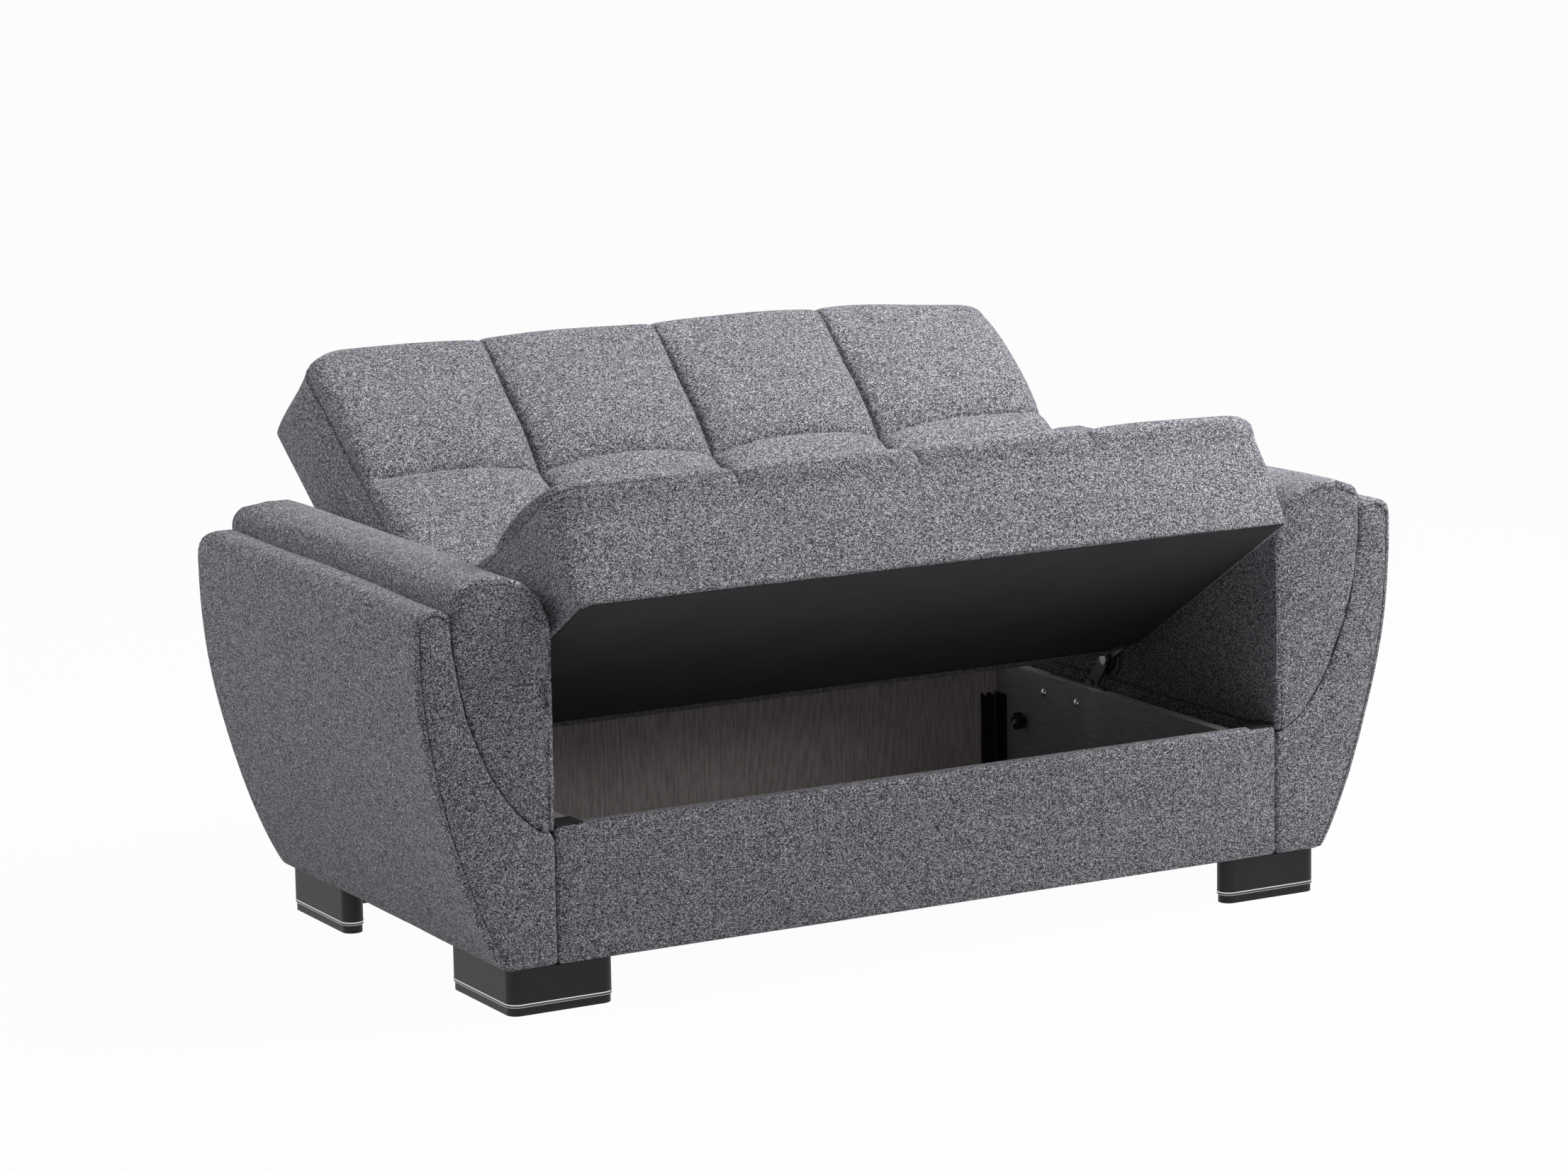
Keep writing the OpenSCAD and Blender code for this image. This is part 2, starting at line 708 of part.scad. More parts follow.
module plate_bolts(plate_x) {
    for (s = plate_bolts_s) {
        bar_x(plate_x - tube_w, s, plate_bolt_w, bolt_d, tube_w + plate_t);
        bar_x(plate_x + plate_t, s, plate_bolt_w, 1.8 * bolt_d, 3);
    }
}

// Seat and back

module seat_frame() {
    color([0.12, 0.12, 0.13]) seat_pose() tube_frame(seat_plate_x, seat_l);
}

module seat_springs() {
    color([0.3, 0.3, 0.31]) seat_pose() springs(seat_l);
}

module seat_cushion() {
    color([0.35, 0.35, 0.38]) seat_pose() cushion(seat_l);
}

module seat_dust_cover() {
    color([0.06, 0.06, 0.07]) seat_pose() cover(seat_l);
}

module seat_plate_bolts() {
    color([0.55, 0.55, 0.57]) both_sides() seat_pose() plate_bolts(seat_plate_x);
}

module back_frame() {
    color([0.12, 0.12, 0.13]) back_pose() tube_frame(back_plate_x, back_l);
}

module back_springs() {
    color([0.3, 0.3, 0.31]) back_pose() springs(back_l);
}

module back_cushion() {
    color([0.35, 0.35, 0.38]) back_pose() cushion(back_l);
}

module back_cover() {
    color([0.3, 0.3, 0.33]) back_pose() cover(back_l);
}

module back_plate_bolts() {
    color([0.55, 0.55, 0.57]) both_sides() back_pose() plate_bolts(back_plate_x);
}

front_panel();
rear_panel();
side_panel(-1);  // side_panel_left
side_panel(1);  // side_panel_right
floor_panel();
corner_posts();
corner_caps();
arm_shell(-1);  // arm_shell_left
arm_shell(1);  // arm_shell_right
arm_pad(-1);  // arm_pad_left
arm_pad(1);  // arm_pad_right
spacer_rail(-1);  // spacer_rail_left
spacer_rail(1);  // spacer_rail_right
arm_bolts();
star_knobs();
foot(-1, foot_front_y);  // foot_front_left
foot(1, foot_front_y);  // foot_front_right
foot(-1, foot_rear_y);  // foot_rear_left
foot(1, foot_rear_y);  // foot_rear_right
foot_rings();
foot_glides();
foot_bolts();
bracket(-1);  // bracket_left
bracket(1);  // bracket_right
bracket_bolts();
link_pivots();
swing_link(-1);  // swing_link_left
swing_link(1);  // swing_link_right
hinge_pin(-1);  // hinge_pin_left
hinge_pin(1);  // hinge_pin_right
seat_frame();
seat_springs();
seat_cushion();
seat_dust_cover();
seat_plate(-1);  // seat_plate_left
seat_plate(1);  // seat_plate_right
seat_plate_bolts();
pawl(-1);  // pawl_left
pawl(1);  // pawl_right
back_frame();
back_springs();
back_cushion();
back_cover();
back_plate(-1);  // back_plate_left
back_plate(1);  // back_plate_right
back_plate_bolts();
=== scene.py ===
# %% [markdown]
# # Sleeper loveseat
# A two-seat sofa in grey tweed. Its back is a click-clack back, and its seat lifts on two swing
# links over a storage box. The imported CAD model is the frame: boards, steel and bolts come from
# it, and every soft part is modelled here as fabric over the space that its CAD solid holds.

# %% Load the frame
import json
import math
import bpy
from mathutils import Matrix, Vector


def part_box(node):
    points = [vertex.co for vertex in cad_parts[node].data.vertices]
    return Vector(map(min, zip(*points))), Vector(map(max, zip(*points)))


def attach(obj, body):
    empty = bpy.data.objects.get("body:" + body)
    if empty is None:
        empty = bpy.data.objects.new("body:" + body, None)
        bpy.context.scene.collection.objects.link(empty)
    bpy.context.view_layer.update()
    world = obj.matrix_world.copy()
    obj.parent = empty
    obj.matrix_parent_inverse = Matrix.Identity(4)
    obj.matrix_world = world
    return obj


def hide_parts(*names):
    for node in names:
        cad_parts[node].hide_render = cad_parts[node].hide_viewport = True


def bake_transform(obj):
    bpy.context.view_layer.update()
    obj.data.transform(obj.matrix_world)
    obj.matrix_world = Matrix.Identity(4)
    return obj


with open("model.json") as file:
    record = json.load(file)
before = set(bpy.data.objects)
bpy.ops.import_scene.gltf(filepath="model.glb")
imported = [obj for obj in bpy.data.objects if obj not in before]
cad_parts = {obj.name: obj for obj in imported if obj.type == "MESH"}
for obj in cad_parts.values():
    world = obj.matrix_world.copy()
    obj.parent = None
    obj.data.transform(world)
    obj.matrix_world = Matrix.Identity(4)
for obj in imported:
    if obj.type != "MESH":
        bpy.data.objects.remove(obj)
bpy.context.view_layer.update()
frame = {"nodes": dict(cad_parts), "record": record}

from types import SimpleNamespace

import bmesh
import bpy
from mathutils import Matrix, Vector, noise
from mathutils.kdtree import KDTree

# %% [markdown]
# ## Camera
# The photograph was taken from the left front with a long lens, a little above the sofa. A camera
# can be aimed with a Track To constraint or with a matrix. A matrix is used, because the view is
# also rolled by one degree, which a constraint would undo.

# %% The camera
EYE = Vector((-3.934, -7.155, 2.017))
YAW, PITCH, ROLL = math.radians(28.886), math.radians(10.546), math.radians(-0.998)
forward = Vector((math.sin(YAW) * math.cos(PITCH), math.cos(YAW) * math.cos(PITCH),
                  -math.sin(PITCH)))
level = Vector((math.cos(YAW), -math.sin(YAW), 0))
upright = level.cross(forward)
right = math.cos(ROLL) * level + math.sin(ROLL) * upright
upward = math.cos(ROLL) * upright - math.sin(ROLL) * level
lens = bpy.data.cameras.new("photo_camera")
lens.lens, lens.sensor_width, lens.sensor_fit = 119.95, 36, "HORIZONTAL"
camera = bpy.data.objects.new("photo_camera", lens)
axes = Matrix((right, upward, -forward)).transposed()
camera.matrix_world = Matrix.Translation(EYE) @ axes.to_4x4()
bpy.context.collection.objects.link(camera)
bpy.context.scene.camera = camera
print("camera", round(EYE.length, 3), "m from the origin")

# %% [markdown]
# ## Studio
# The sofa stands on white with soft light from high on the right, and less from the left. Large
# area lamps give the soft edges. The white is the floor's own colour for camera rays, so that no
# lamp has to be strong enough to burn the floor out, and the fabric keeps its colour.

# %% Lamps
LAMPS = {  # place, target, size and power
    "key_right": ((2.4, -1.0, 3.2), (0.2, 0.0, 0.5), 1.8, 132),
    "near_right": ((1.7, -2.2, 1.6), (0.5, 0.0, 0.4), 1.2, 12),
    "left": ((-3.4, 0.3, 2.1), (-0.5, 0.0, 0.4), 1.8, 34),
    "front": ((-1.5, -4.5, 1.6), (0.0, 0.0, 0.4), 2.4, 3),
    "top": ((0.3, 0.2, 4.2), (0.1, 0.0, 0.4), 3.0, 44),
}
for name, (place, target, size, power) in LAMPS.items():
    lamp = bpy.data.lights.new(name, "AREA")
    lamp.shape, lamp.size, lamp.energy = "DISK", size, power
    holder = bpy.data.objects.new(name, lamp)
    aim = Vector(target) - Vector(place)
    turn = aim.to_track_quat("-Z", "Y").to_matrix()
    holder.matrix_world = Matrix.Translation(place) @ turn.to_4x4()
    bpy.context.collection.objects.link(holder)
    print("lamp", name, power, "W")

# %% Nodes and materials
def add(tree, kind, inputs=None, **settings):
    """A node with its settings, and inputs that are links or constants."""
    node = tree.nodes.new(kind)
    for key, value in settings.items():
        setattr(node, key, value)
    for key, value in (inputs or {}).items():
        if isinstance(value, bpy.types.NodeSocket):
            tree.links.new(value, node.inputs[key])
        else:
            node.inputs[key].default_value = value
    return node


def new_material(name, **constants):
    """A material whose shader has some constants of its own."""
    material = bpy.data.materials.new(name)
    material.use_nodes = True
    tree = material.node_tree
    shader = tree.nodes["Principled BSDF"]
    for key, value in constants.items():
        shader.inputs[key.replace("_", " ")].default_value = value
    return material, tree, shader


# %% Ramps, noise and bumps
def ramp(tree, factor, stops):
    """A colour ramp through (position, grey or colour) stops."""
    node = add(tree, "ShaderNodeValToRGB", {"Fac": factor})
    elements = node.color_ramp.elements
    while len(elements) < len(stops):
        elements.new(1.0)
    for element, (position, colour) in zip(elements, stops):
        element.position = position
        element.color = (*colour, 1) if isinstance(colour, tuple) else (colour, colour, colour, 1)
    return node.outputs["Color"]


def stretched_noise(tree, coordinates, scale, **values):
    """Noise that is drawn out by a different amount along each axis."""
    mapping = add(tree, "ShaderNodeMapping", {"Vector": coordinates, "Scale": scale})
    inputs = {"Vector": mapping.outputs["Vector"], "Scale": 1.0, **values}
    return add(tree, "ShaderNodeTexNoise", inputs).outputs["Fac"]


def math_node(tree, operation, *values):
    """A sum, product or other operation on links or constants."""
    node = add(tree, "ShaderNodeMath", operation=operation)
    for socket, value in zip(node.inputs, values):
        if isinstance(value, bpy.types.NodeSocket):
            tree.links.new(value, socket)
        else:
            socket.default_value = value
    return node.outputs[0]


def mixed(tree, factor, a, b, blend="MIX"):
    """Two colours, which are links or constants, mixed or multiplied."""
    node = add(tree, "ShaderNodeMix", data_type="RGBA", blend_type=blend)
    for key, value in (("Factor", factor), ("A", a), ("B", b)):
        socket = [s for s in node.inputs if s.name == key and s.enabled][0]
        if isinstance(value, bpy.types.NodeSocket):
            tree.links.new(value, socket)
        else:
            socket.default_value = value if key == "Factor" else (*value, 1)
    return [s for s in node.outputs if s.enabled][0]


def bumped(tree, shader, height, depth):
    """Lets a pattern stand out from the surface by a depth in metres."""
    bump = add(tree, "ShaderNodeBump", {"Height": height, "Distance": depth, "Strength": 1.0})
    tree.links.new(bump.outputs["Normal"], shader.inputs["Normal"])


# %% World and floor
WORLD_LIGHT, WHITE = (0.12, 0.12, 0.122), (1.0, 1.0, 1.0)
FLOOR_GREY, FLOOR_GLOW, FLOOR_HALF = 0.6, 0.97, 60


def seen_directly(tree):
    """1 where the camera looks, also in metal or through glass, and 0 for light on the sofa."""
    rays = add(tree, "ShaderNodeLightPath").outputs
    mirrored = math_node(tree, "MAXIMUM", rays["Is Glossy Ray"], rays["Is Transmission Ray"])
    return math_node(tree, "MAXIMUM", rays["Is Camera Ray"], mirrored)


world = bpy.data.worlds.new("studio")
bpy.context.scene.world = world
world.use_nodes = True
sky = world.node_tree
surroundings = mixed(sky, seen_directly(sky), WORLD_LIGHT, WHITE)
sky.links.new(surroundings, sky.nodes["Background"].inputs["Color"])

backdrop, tree, shader = new_material("white_floor", Roughness=0.9)
shader.inputs["Base Color"].default_value = (FLOOR_GREY, FLOOR_GREY, FLOOR_GREY, 1)
glow = add(tree, "ShaderNodeEmission", {"Color": (*WHITE, 1), "Strength": 1.0}).outputs[0]
glowing = math_node(tree, "MULTIPLY", seen_directly(tree), FLOOR_GLOW)
paper = add(tree, "ShaderNodeMixShader", {"Fac": glowing})
tree.links.new(shader.outputs[0], paper.inputs[1])
tree.links.new(glow, paper.inputs[2])
tree.links.new(paper.outputs[0], tree.nodes["Material Output"].inputs["Surface"])

floor_mesh = bpy.data.meshes.new("floor")
bm = bmesh.new()
bmesh.ops.create_grid(bm, x_segments=1, y_segments=1, size=FLOOR_HALF)
bm.to_mesh(floor_mesh)
bm.free()
floor = bpy.data.objects.new("floor", floor_mesh)
floor_mesh.materials.append(backdrop)
bpy.context.collection.objects.link(floor)
bpy.context.scene.view_settings.view_transform = "Standard"
print("floor of", 2 * FLOOR_HALF, "m")

# %% [markdown]
# ## The tweed
# The cover is a heather tweed: light and dark blue-grey yarns of about a millimetre that show as
# short dashes in both directions. An image could give that, but two brick textures without mortar,
# one along the warp and one along the weft, give each dash a brightness of its own, and a noise
# picks between them, so that nothing repeats. They follow each piece's own map in metres, so that
# the weave has one scale on the whole sofa.

# %% Tweed material
YARN, DASH, PICK = 0.00080, 0.0024, 0.0015
WAVER, WAVER_SCALE, WEAVE_DEPTH = 0.0015, 160.0, 0.0003
YARN_COLOURS = [(0.0, (0.007, 0.007, 0.010)), (0.25, (0.040, 0.039, 0.050)),
                (0.55, (0.160, 0.157, 0.180)), (0.80, (0.45, 0.44, 0.48)),
                (1.0, (0.96, 0.94, 0.98))]
# Darkening of the colour along the seams, which is painted shade of the seam valleys.
PAINTED_SEAM_SHADE = [(0.0, 1.0), (0.5, 0.62), (1.0, 0.30)]
PATCH_SCALE, PATCH_SHADE = (14, 18, 1), [(0.3, 0.95), (0.7, 1.0)]


def yarns(tree, cloth, turn, shift):
    """Rows of dashes, each of its own brightness."""
    mapping = add(tree, "ShaderNodeMapping",
                  {"Vector": cloth, "Rotation": (0, 0, turn), "Location": (shift, 0, 0)})
    bricks = {"Vector": mapping.outputs["Vector"], "Color1": (0, 0, 0, 1), "Color2": (1, 1, 1, 1),
              "Scale": 1.0, "Mortar Size": 0.0, "Brick Width": DASH, "Row Height": YARN}
    return add(tree, "ShaderNodeTexBrick", bricks, offset=0.37, offset_frequency=2).outputs["Color"]


def tweed(name):
    """Weft and warp that waver like spun yarn, and painted shade along the seams, read from a seam
    attribute.
    """
    material, tree, shader = new_material(name, Roughness=0.92, Specular_IOR_Level=0.2,
                                          Sheen_Weight=0.10, Sheen_Roughness=0.45)
    cloth = add(tree, "ShaderNodeUVMap", uv_map="cloth").outputs["UV"]
    waver = add(tree, "ShaderNodeTexNoise", {"Vector": cloth, "Scale": WAVER_SCALE, "Detail": 1.0})
    push = add(tree, "ShaderNodeVectorMath", {0: waver.outputs["Color"], 1: (WAVER, WAVER, 0.0)},
               operation="MULTIPLY").outputs[0]
    bent = add(tree, "ShaderNodeVectorMath", {0: cloth, 1: push}, operation="ADD").outputs[0]
    weft = yarns(tree, bent, 0.0, 0.0)
    warp = yarns(tree, bent, math.pi / 2, 5.0)
    pick = stretched_noise(tree, cloth, (1 / PICK, 1 / PICK, 1), Detail=1.0)
    chosen = add(tree, "ShaderNodeMapRange",
                 {"Value": pick, "From Min": 0.50, "From Max": 0.54}).outputs[0]
    yarn = mixed(tree, chosen, weft, warp)
    patches = ramp(tree, stretched_noise(tree, cloth, PATCH_SCALE, Detail=2.0), PATCH_SHADE)
    shaded = mixed(tree, 1.0, ramp(tree, yarn, YARN_COLOURS), patches, "MULTIPLY")
    # The seam attribute darkens the colour along the seams: painted shade of the seam valleys.
    sewn = add(tree, "ShaderNodeAttribute", attribute_name="seam").outputs["Fac"]
    cover = mixed(tree, 1.0, shaded, ramp(tree, sewn, PAINTED_SEAM_SHADE), "MULTIPLY")
    tree.links.new(cover, shader.inputs["Base Color"])
    bumped(tree, shader, yarn, WEAVE_DEPTH)
    return material


tweed_cover = tweed("heather_tweed")
print("tweed of", 1000 * YARN, "mm yarns in dashes of", 1000 * DASH, "mm")

# %% [markdown]
# ## Boards, steel and plastic
# The storage box is of melamine board with a printed grain and a pale edge band. Wood grain is
# noise that is drawn out along the grain, bent by a slow wave. The side boards carry it level and
# the rear board upright, so the material takes the direction of its grain.

# %% Board material
BOARD_TOP, BAND_EDGE, BAND_COLOUR = 0.268, 0.0004, (0.80, 0.78, 0.75)
RINGS, RING_SHARE, PORE_SHARE, PORE_DEPTH = 330.0, 0.07, 0.85, 0.0002


def board(name, grain, light, dark):
    """Grain gives the Object scales: small along the grain, large across it."""
    material, tree, shader = new_material(name, Roughness=0.5)
    place = add(tree, "ShaderNodeTexCoord").outputs["Object"]
    bend = stretched_noise(tree, place, [g * 0.2 for g in grain], Detail=1.5, Roughness=0.35)
    rings = math_node(tree, "SINE", math_node(tree, "MULTIPLY", bend, RINGS))
    pores = stretched_noise(tree, place, [g * 12 for g in grain], Detail=3.0)
    height = math_node(tree, "ADD", math_node(tree, "MULTIPLY", rings, RING_SHARE),
                       math_node(tree, "MULTIPLY", pores, PORE_SHARE))
    wood = ramp(tree, height, [(0.25, dark), (0.58, light)])
    top = add(tree, "ShaderNodeSeparateXYZ", {"Vector": place}).outputs["Z"]
    band = math_node(tree, "GREATER_THAN", top, BOARD_TOP - BAND_EDGE)
    tree.links.new(mixed(tree, band, wood, BAND_COLOUR), shader.inputs["Base Color"])
    bumped(tree, shader, pores, PORE_DEPTH)
    return material


# %% Plastic, paint and metal
def speckled(name, colour, roughness, grain, depth, metallic=0.0, spread=0.25, shine=0.5):
    """Plain finish with a fine texture, whose colour and gloss vary a little."""
    material, tree, shader = new_material(name, Metallic=metallic, Specular_IOR_Level=shine)
    place = add(tree, "ShaderNodeTexCoord").outputs["Object"]
    fine = stretched_noise(tree, place, (grain, grain, grain), Detail=3.0)
    wide = stretched_noise(tree, place, (9, 9, 9), Detail=2.0)
    deeper = tuple(c * (1 - spread) for c in colour)
    paler = tuple(min(1.0, c * (1 + spread)) for c in colour)
    tree.links.new(ramp(tree, wide, [(0.3, deeper), (0.7, paler)]), shader.inputs["Base Color"])
    gloss = ramp(tree, fine, [(0.3, roughness * 0.85), (0.7, min(1.0, roughness * 1.15))])
    tree.links.new(gloss, shader.inputs["Roughness"])
    bumped(tree, shader, fine, depth)
    return material


finishes = {
    "side_board": board("side_board", (26, 3.2, 60), (0.43, 0.395, 0.39), (0.26, 0.24, 0.243)),
    "rear_board": board("rear_board", (26, 26, 2.6), (0.82, 0.740, 0.712), (0.51, 0.455, 0.438)),
    "rail_wood": board("rail_wood", (60, 4, 60), (0.52, 0.38, 0.23), (0.34, 0.22, 0.12)),
    "black_plastic": speckled("black_plastic", (0.010, 0.010, 0.011), 0.45, 900, 0.0001,
                              shine=0.28),
    "chrome": speckled("chrome", (0.75, 0.75, 0.77), 0.12, 200, 0.00002, metallic=1.0, spread=0.04),
    "plated_steel": speckled("plated_steel", (0.50, 0.50, 0.51), 0.32, 500, 0.00005, metallic=1.0,
                             spread=0.1),
    "black_steel": speckled("black_steel", (0.035, 0.035, 0.038), 0.38, 700, 0.0001),
    "spring_steel": speckled("spring_steel", (0.22, 0.22, 0.23), 0.4, 500, 0.00005, metallic=1.0,
                             spread=0.1),
    "dust_cloth": speckled("dust_cloth", (0.012, 0.012, 0.014), 0.85, 1400, 0.0002),
}
print(len(finishes), "finishes")

# %% Painted dark reflection on the chrome rings
RING_FOOT, RING_HEIGHT = 0.0125, 0.006
# Base colour of the rings: full at the band's edges and dark in its middle, a painted reflection of
# dark surroundings.
PAINTED_RING_REFLECTION = ((0.0130, 1.0), (0.0138, 0.10), (0.0162, 0.12), (0.0170, 1.0))
tree = finishes["chrome"].node_tree
shader = tree.nodes["Principled BSDF"]
place = add(tree, "ShaderNodeTexCoord").outputs["Object"]
height = add(tree, "ShaderNodeSeparateXYZ", {"Vector": place}).outputs["Z"]
share = add(tree, "ShaderNodeMapRange", {"Value": height, "From Min": RING_FOOT,
                                         "From Max": RING_FOOT + RING_HEIGHT}).outputs[0]
painted_dark_band = ramp(tree, share, [((z - RING_FOOT) / RING_HEIGHT, shine) for z, shine in PAINTED_RING_REFLECTION])
plain = shader.inputs["Base Color"].links[0].from_socket
tree.links.new(mixed(tree, 1.0, plain, painted_dark_band, "MULTIPLY"), shader.inputs["Base Color"])
# The painted dark reflection lies between these heights.
print("groove from", PAINTED_RING_REFLECTION[1][0], "to", PAINTED_RING_REFLECTION[2][0], "m above the floor")

# %% Finishes of the CAD nodes
finish_of_slot, finish_of_node = {"board": "side_board"}, {"rear_panel": "rear_board"}
for part in frame["record"]["subparts"]:
    node, slot = part["node"], part["material_slot"]
    mesh = frame["nodes"][node].data
    mesh.materials.clear()
    finish = finish_of_node.get(node, finish_of_slot.get(slot, slot))
    mesh.materials.append(finishes.get(finish, tweed_cover))
print(len(frame["nodes"]), "CAD nodes have their finish")

# %% [markdown]
# ## Pieces of the scene
# Each piece made here stands for a CAD solid or is added to one, and all but the cushions ride on a
# body of the frame. One helper puts each of them in place. It could be written out for each piece,
# but a piece that is forgotten would then hang in the air when the sofa moves.

# %% Finishing a piece
def finish_piece(bm, name, body, material, replaced=(), levels=0, turn=None, rounded=True):
    """Puts a finished mesh in place as a piece, which rides on a body when one is given."""
    if turn is not None:
        bmesh.ops.transform(bm, matrix=turn, verts=bm.verts)
    bmesh.ops.recalc_face_normals(bm, faces=bm.faces)
    mesh = bpy.data.meshes.new(name)
    bm.to_mesh(mesh)
    bm.free()
    mesh.polygons.foreach_set("use_smooth", [rounded] * len(mesh.polygons))
    mesh.materials.append(material)
    piece = bpy.data.objects.new(name, mesh)
    bpy.context.collection.objects.link(piece)
    if levels:
        surface = piece.modifiers.new("surface", "SUBSURF")
        surface.levels = surface.render_levels = levels
    if body:
        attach(piece, body)
    if replaced:
        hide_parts(*replaced)
    print(name, len(mesh.polygons), "faces")
    return piece


# %% [markdown]
# ## Ribs of the corner posts
# The moulded posts in the corners of the box carry pairs of slanted ribs that grip the boards'
# screws. They could be a pattern in the material, but they catch the light at their edges, so each
# is a small bar with bevelled edges, turned 35 degrees, and all of them are one piece.

# %% One rib
RIB_SIZE, RIB_EDGE, RIB_TILT = (0.0125, 0.0016, 0.0018), 0.0004, math.radians(-35)


def rib(bm, place, along_wall):
    """A slanted bar with bevelled edges on one wall of a post."""
    bar = bmesh.ops.create_cube(bm, size=1)["verts"]
    bmesh.ops.scale(bm, vec=RIB_SIZE, verts=bar)
    rims = list({edge for v in bar for edge in v.link_edges})
    bar = bmesh.ops.bevel(bm, geom=rims, offset=RIB_EDGE, segments=1, affect="EDGES", profile=0.5,
                          material=-1)["verts"]
    bmesh.ops.rotate(bm, cent=(0, 0, 0), matrix=Matrix.Rotation(RIB_TILT, 3, "Y"), verts=bar)
    if not along_wall:
        bmesh.ops.rotate(bm, cent=(0, 0, 0), matrix=Matrix.Rotation(math.pi / 2, 3, "Z"), verts=bar)
    bmesh.ops.translate(bm, vec=place, verts=bar)


# %% Corner post ribs
POST_LEG, POST_WALL, POST_END, RIB_PITCH, RIB_PAIR = 0.032, 0.005, 0.020, 0.031, 0.009
posts_low, posts_high = [Vector(c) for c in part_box("corner_posts")]
reach = (0.55 * POST_LEG, POST_WALL + 0.0003)
bm, ribs = bmesh.new(), 0
for side in (-1, 1):
    for end, wall_y in ((-1, posts_low.y), (1, posts_high.y)):
        for along_wall, inward in ((True, reach), (False, reach[::-1])):
            rise = posts_low.z + POST_END
            while rise < posts_high.z - POST_END:
                for lift in (0.0, RIB_PAIR):
                    across, depth = side * (posts_high.x - inward[0]), wall_y - end * inward[1]
                    rib(bm, (across, depth, rise + lift), along_wall)
                    ribs += 1
                rise += RIB_PITCH
finish_piece(bm, "corner_post_ribs", "base", finishes["black_plastic"],
             rounded=False)
print(ribs, "ribs")

# %% [markdown]
# ## Shaping helpers for the upholstery
# A cushion could be sculpted or simulated from a plain block. Here it starts as a cube that is
# subdivided into a grid, with rows close together beside each seam, so that every seam is a real
# valley in the mesh. Its edges are rounded by moving the grid's points, and the filling is pushed
# out along the surface's own normals.

# %% Gridded box
NEAR_SEAM, TINY = (0.0018, 0.0050, 0.0100, 0.0180), 1e-6


def stations(marks, step, seams=()):
    """Positions from the first mark to the last, close together beside the seams."""
    found = set(marks)
    for a, b in zip(marks, marks[1:]):
        low = [a + d for d in NEAR_SEAM] if a in seams else [a]
        high = [b - d for d in NEAR_SEAM] if b in seams else [b]
        run = high[-1] - low[-1]
        count = max(1, round(run / step))
        found |= {*low, *high, *(low[-1] + run * i / count for i in range(1, count))}
    return sorted(found)


def rim_marks(low, high, rims, middle=()):
    """The two ends of a row, the places beside them where a rim is rounded, and what is between."""
    return [low, *(low + r for r in rims), *middle, *(high - r for r in rims[::-1]), high]


def gridded_box(rows):
    """A cube that is cut into a grid, with its points at the stations of the three axes."""
    bm = bmesh.new()
    bmesh.ops.create_cube(bm, size=1)
    for axis, marks in enumerate(rows):
        along = [e for e in bm.edges if abs((e.verts[0].co - e.verts[1].co)[axis]) > 0.5]
        bmesh.ops.subdivide_edges(bm, edges=along, cuts=len(marks) - 2, use_grid_fill=True)
    for v in bm.verts:
        v.co = [marks[round((c + 0.5) * (len(marks) - 1))] for c, marks in zip(v.co, rows)]
    return bm


# %% Rounding
def smooth(value, low, high):
    """0 below low, 1 above high, and an even S between."""
    t = min(1.0, max(0.0, (value - low) / (high - low)))
    return t * t * (3 - 2 * t)


def round_corner(a, b, radius):
    """Moves a point of a square's corner onto the circle that rounds it."""
    if a >= radius or b >= radius:
        return a, b
    da, db = radius - a, radius - b
    scale = max(da, db) / math.hypot(da, db)
    return radius - da * scale, radius - db * scale


def round_box(bm, low, high, plan_radius, top_radius, bottom_radius):
    """Rounds the four upright corners, then the rims at the top and the bottom."""
    for v in bm.verts:
        place = v.co.copy()
        dist = [min(place[i] - low[i], high[i] - place[i]) for i in (0, 1)]
        side = [1 if place[i] - low[i] < high[i] - place[i] else -1 for i in (0, 1)]
        inset = min(dist)
        above = place.z > (low[2] + high[2]) / 2
        radius = top_radius if above else bottom_radius
        depth = high[2] - place.z if above else place.z - low[2]
        rim, depth = round_corner(inset, depth, radius)
        place.z = high[2] - depth if above else low[2] + depth
        shift = rim - inset
        dist = [d + shift * (1 - smooth(d, radius, 3 * radius)) for d in dist]
        corner = max(plan_radius(place), rim + 0.0001)
        if dist[0] < corner and dist[1] < corner and corner > rim:
            da, db = corner - dist[0], corner - dist[1]
            scale = max(da, db) / max(TINY, math.hypot(da, db))
            dist = [corner - da * scale, corner - db * scale]
        for i in (0, 1):
            place[i] = low[i] + dist[i] if side[i] > 0 else high[i] - dist[i]
        v.co = place


# %% Map of the weave
WEAVE_SHIFT = (0.37, 0.11)


def map_cloth(bm):
    """Lays the weave on each face from the side that it faces, in metres."""
    layer = bm.loops.layers.uv.new("cloth")
    bm.normal_update()
    for face in bm.faces:
        axis = max(range(3), key=lambda i: abs(face.normal[i]))
        others = [i for i in range(3) if i != axis]
        for loop in face.loops:
            place = loop.vert.co
            loop[layer].uv = [place[i] + d * axis for i, d in zip(others, WEAVE_SHIFT)]


# %% [markdown]
# ## Seat and back cushions
# Both are long tufted pads: four channels side by side, with one seam across. They meet in the
# crease over the hinge pins. Each is drawn lying flat, from the pin outward, and then turned to
# its angle. The crease faces stay a few degrees apart, and the part of each cushion beside the
# crease turns only partly with it, as foam that is pressed there does.

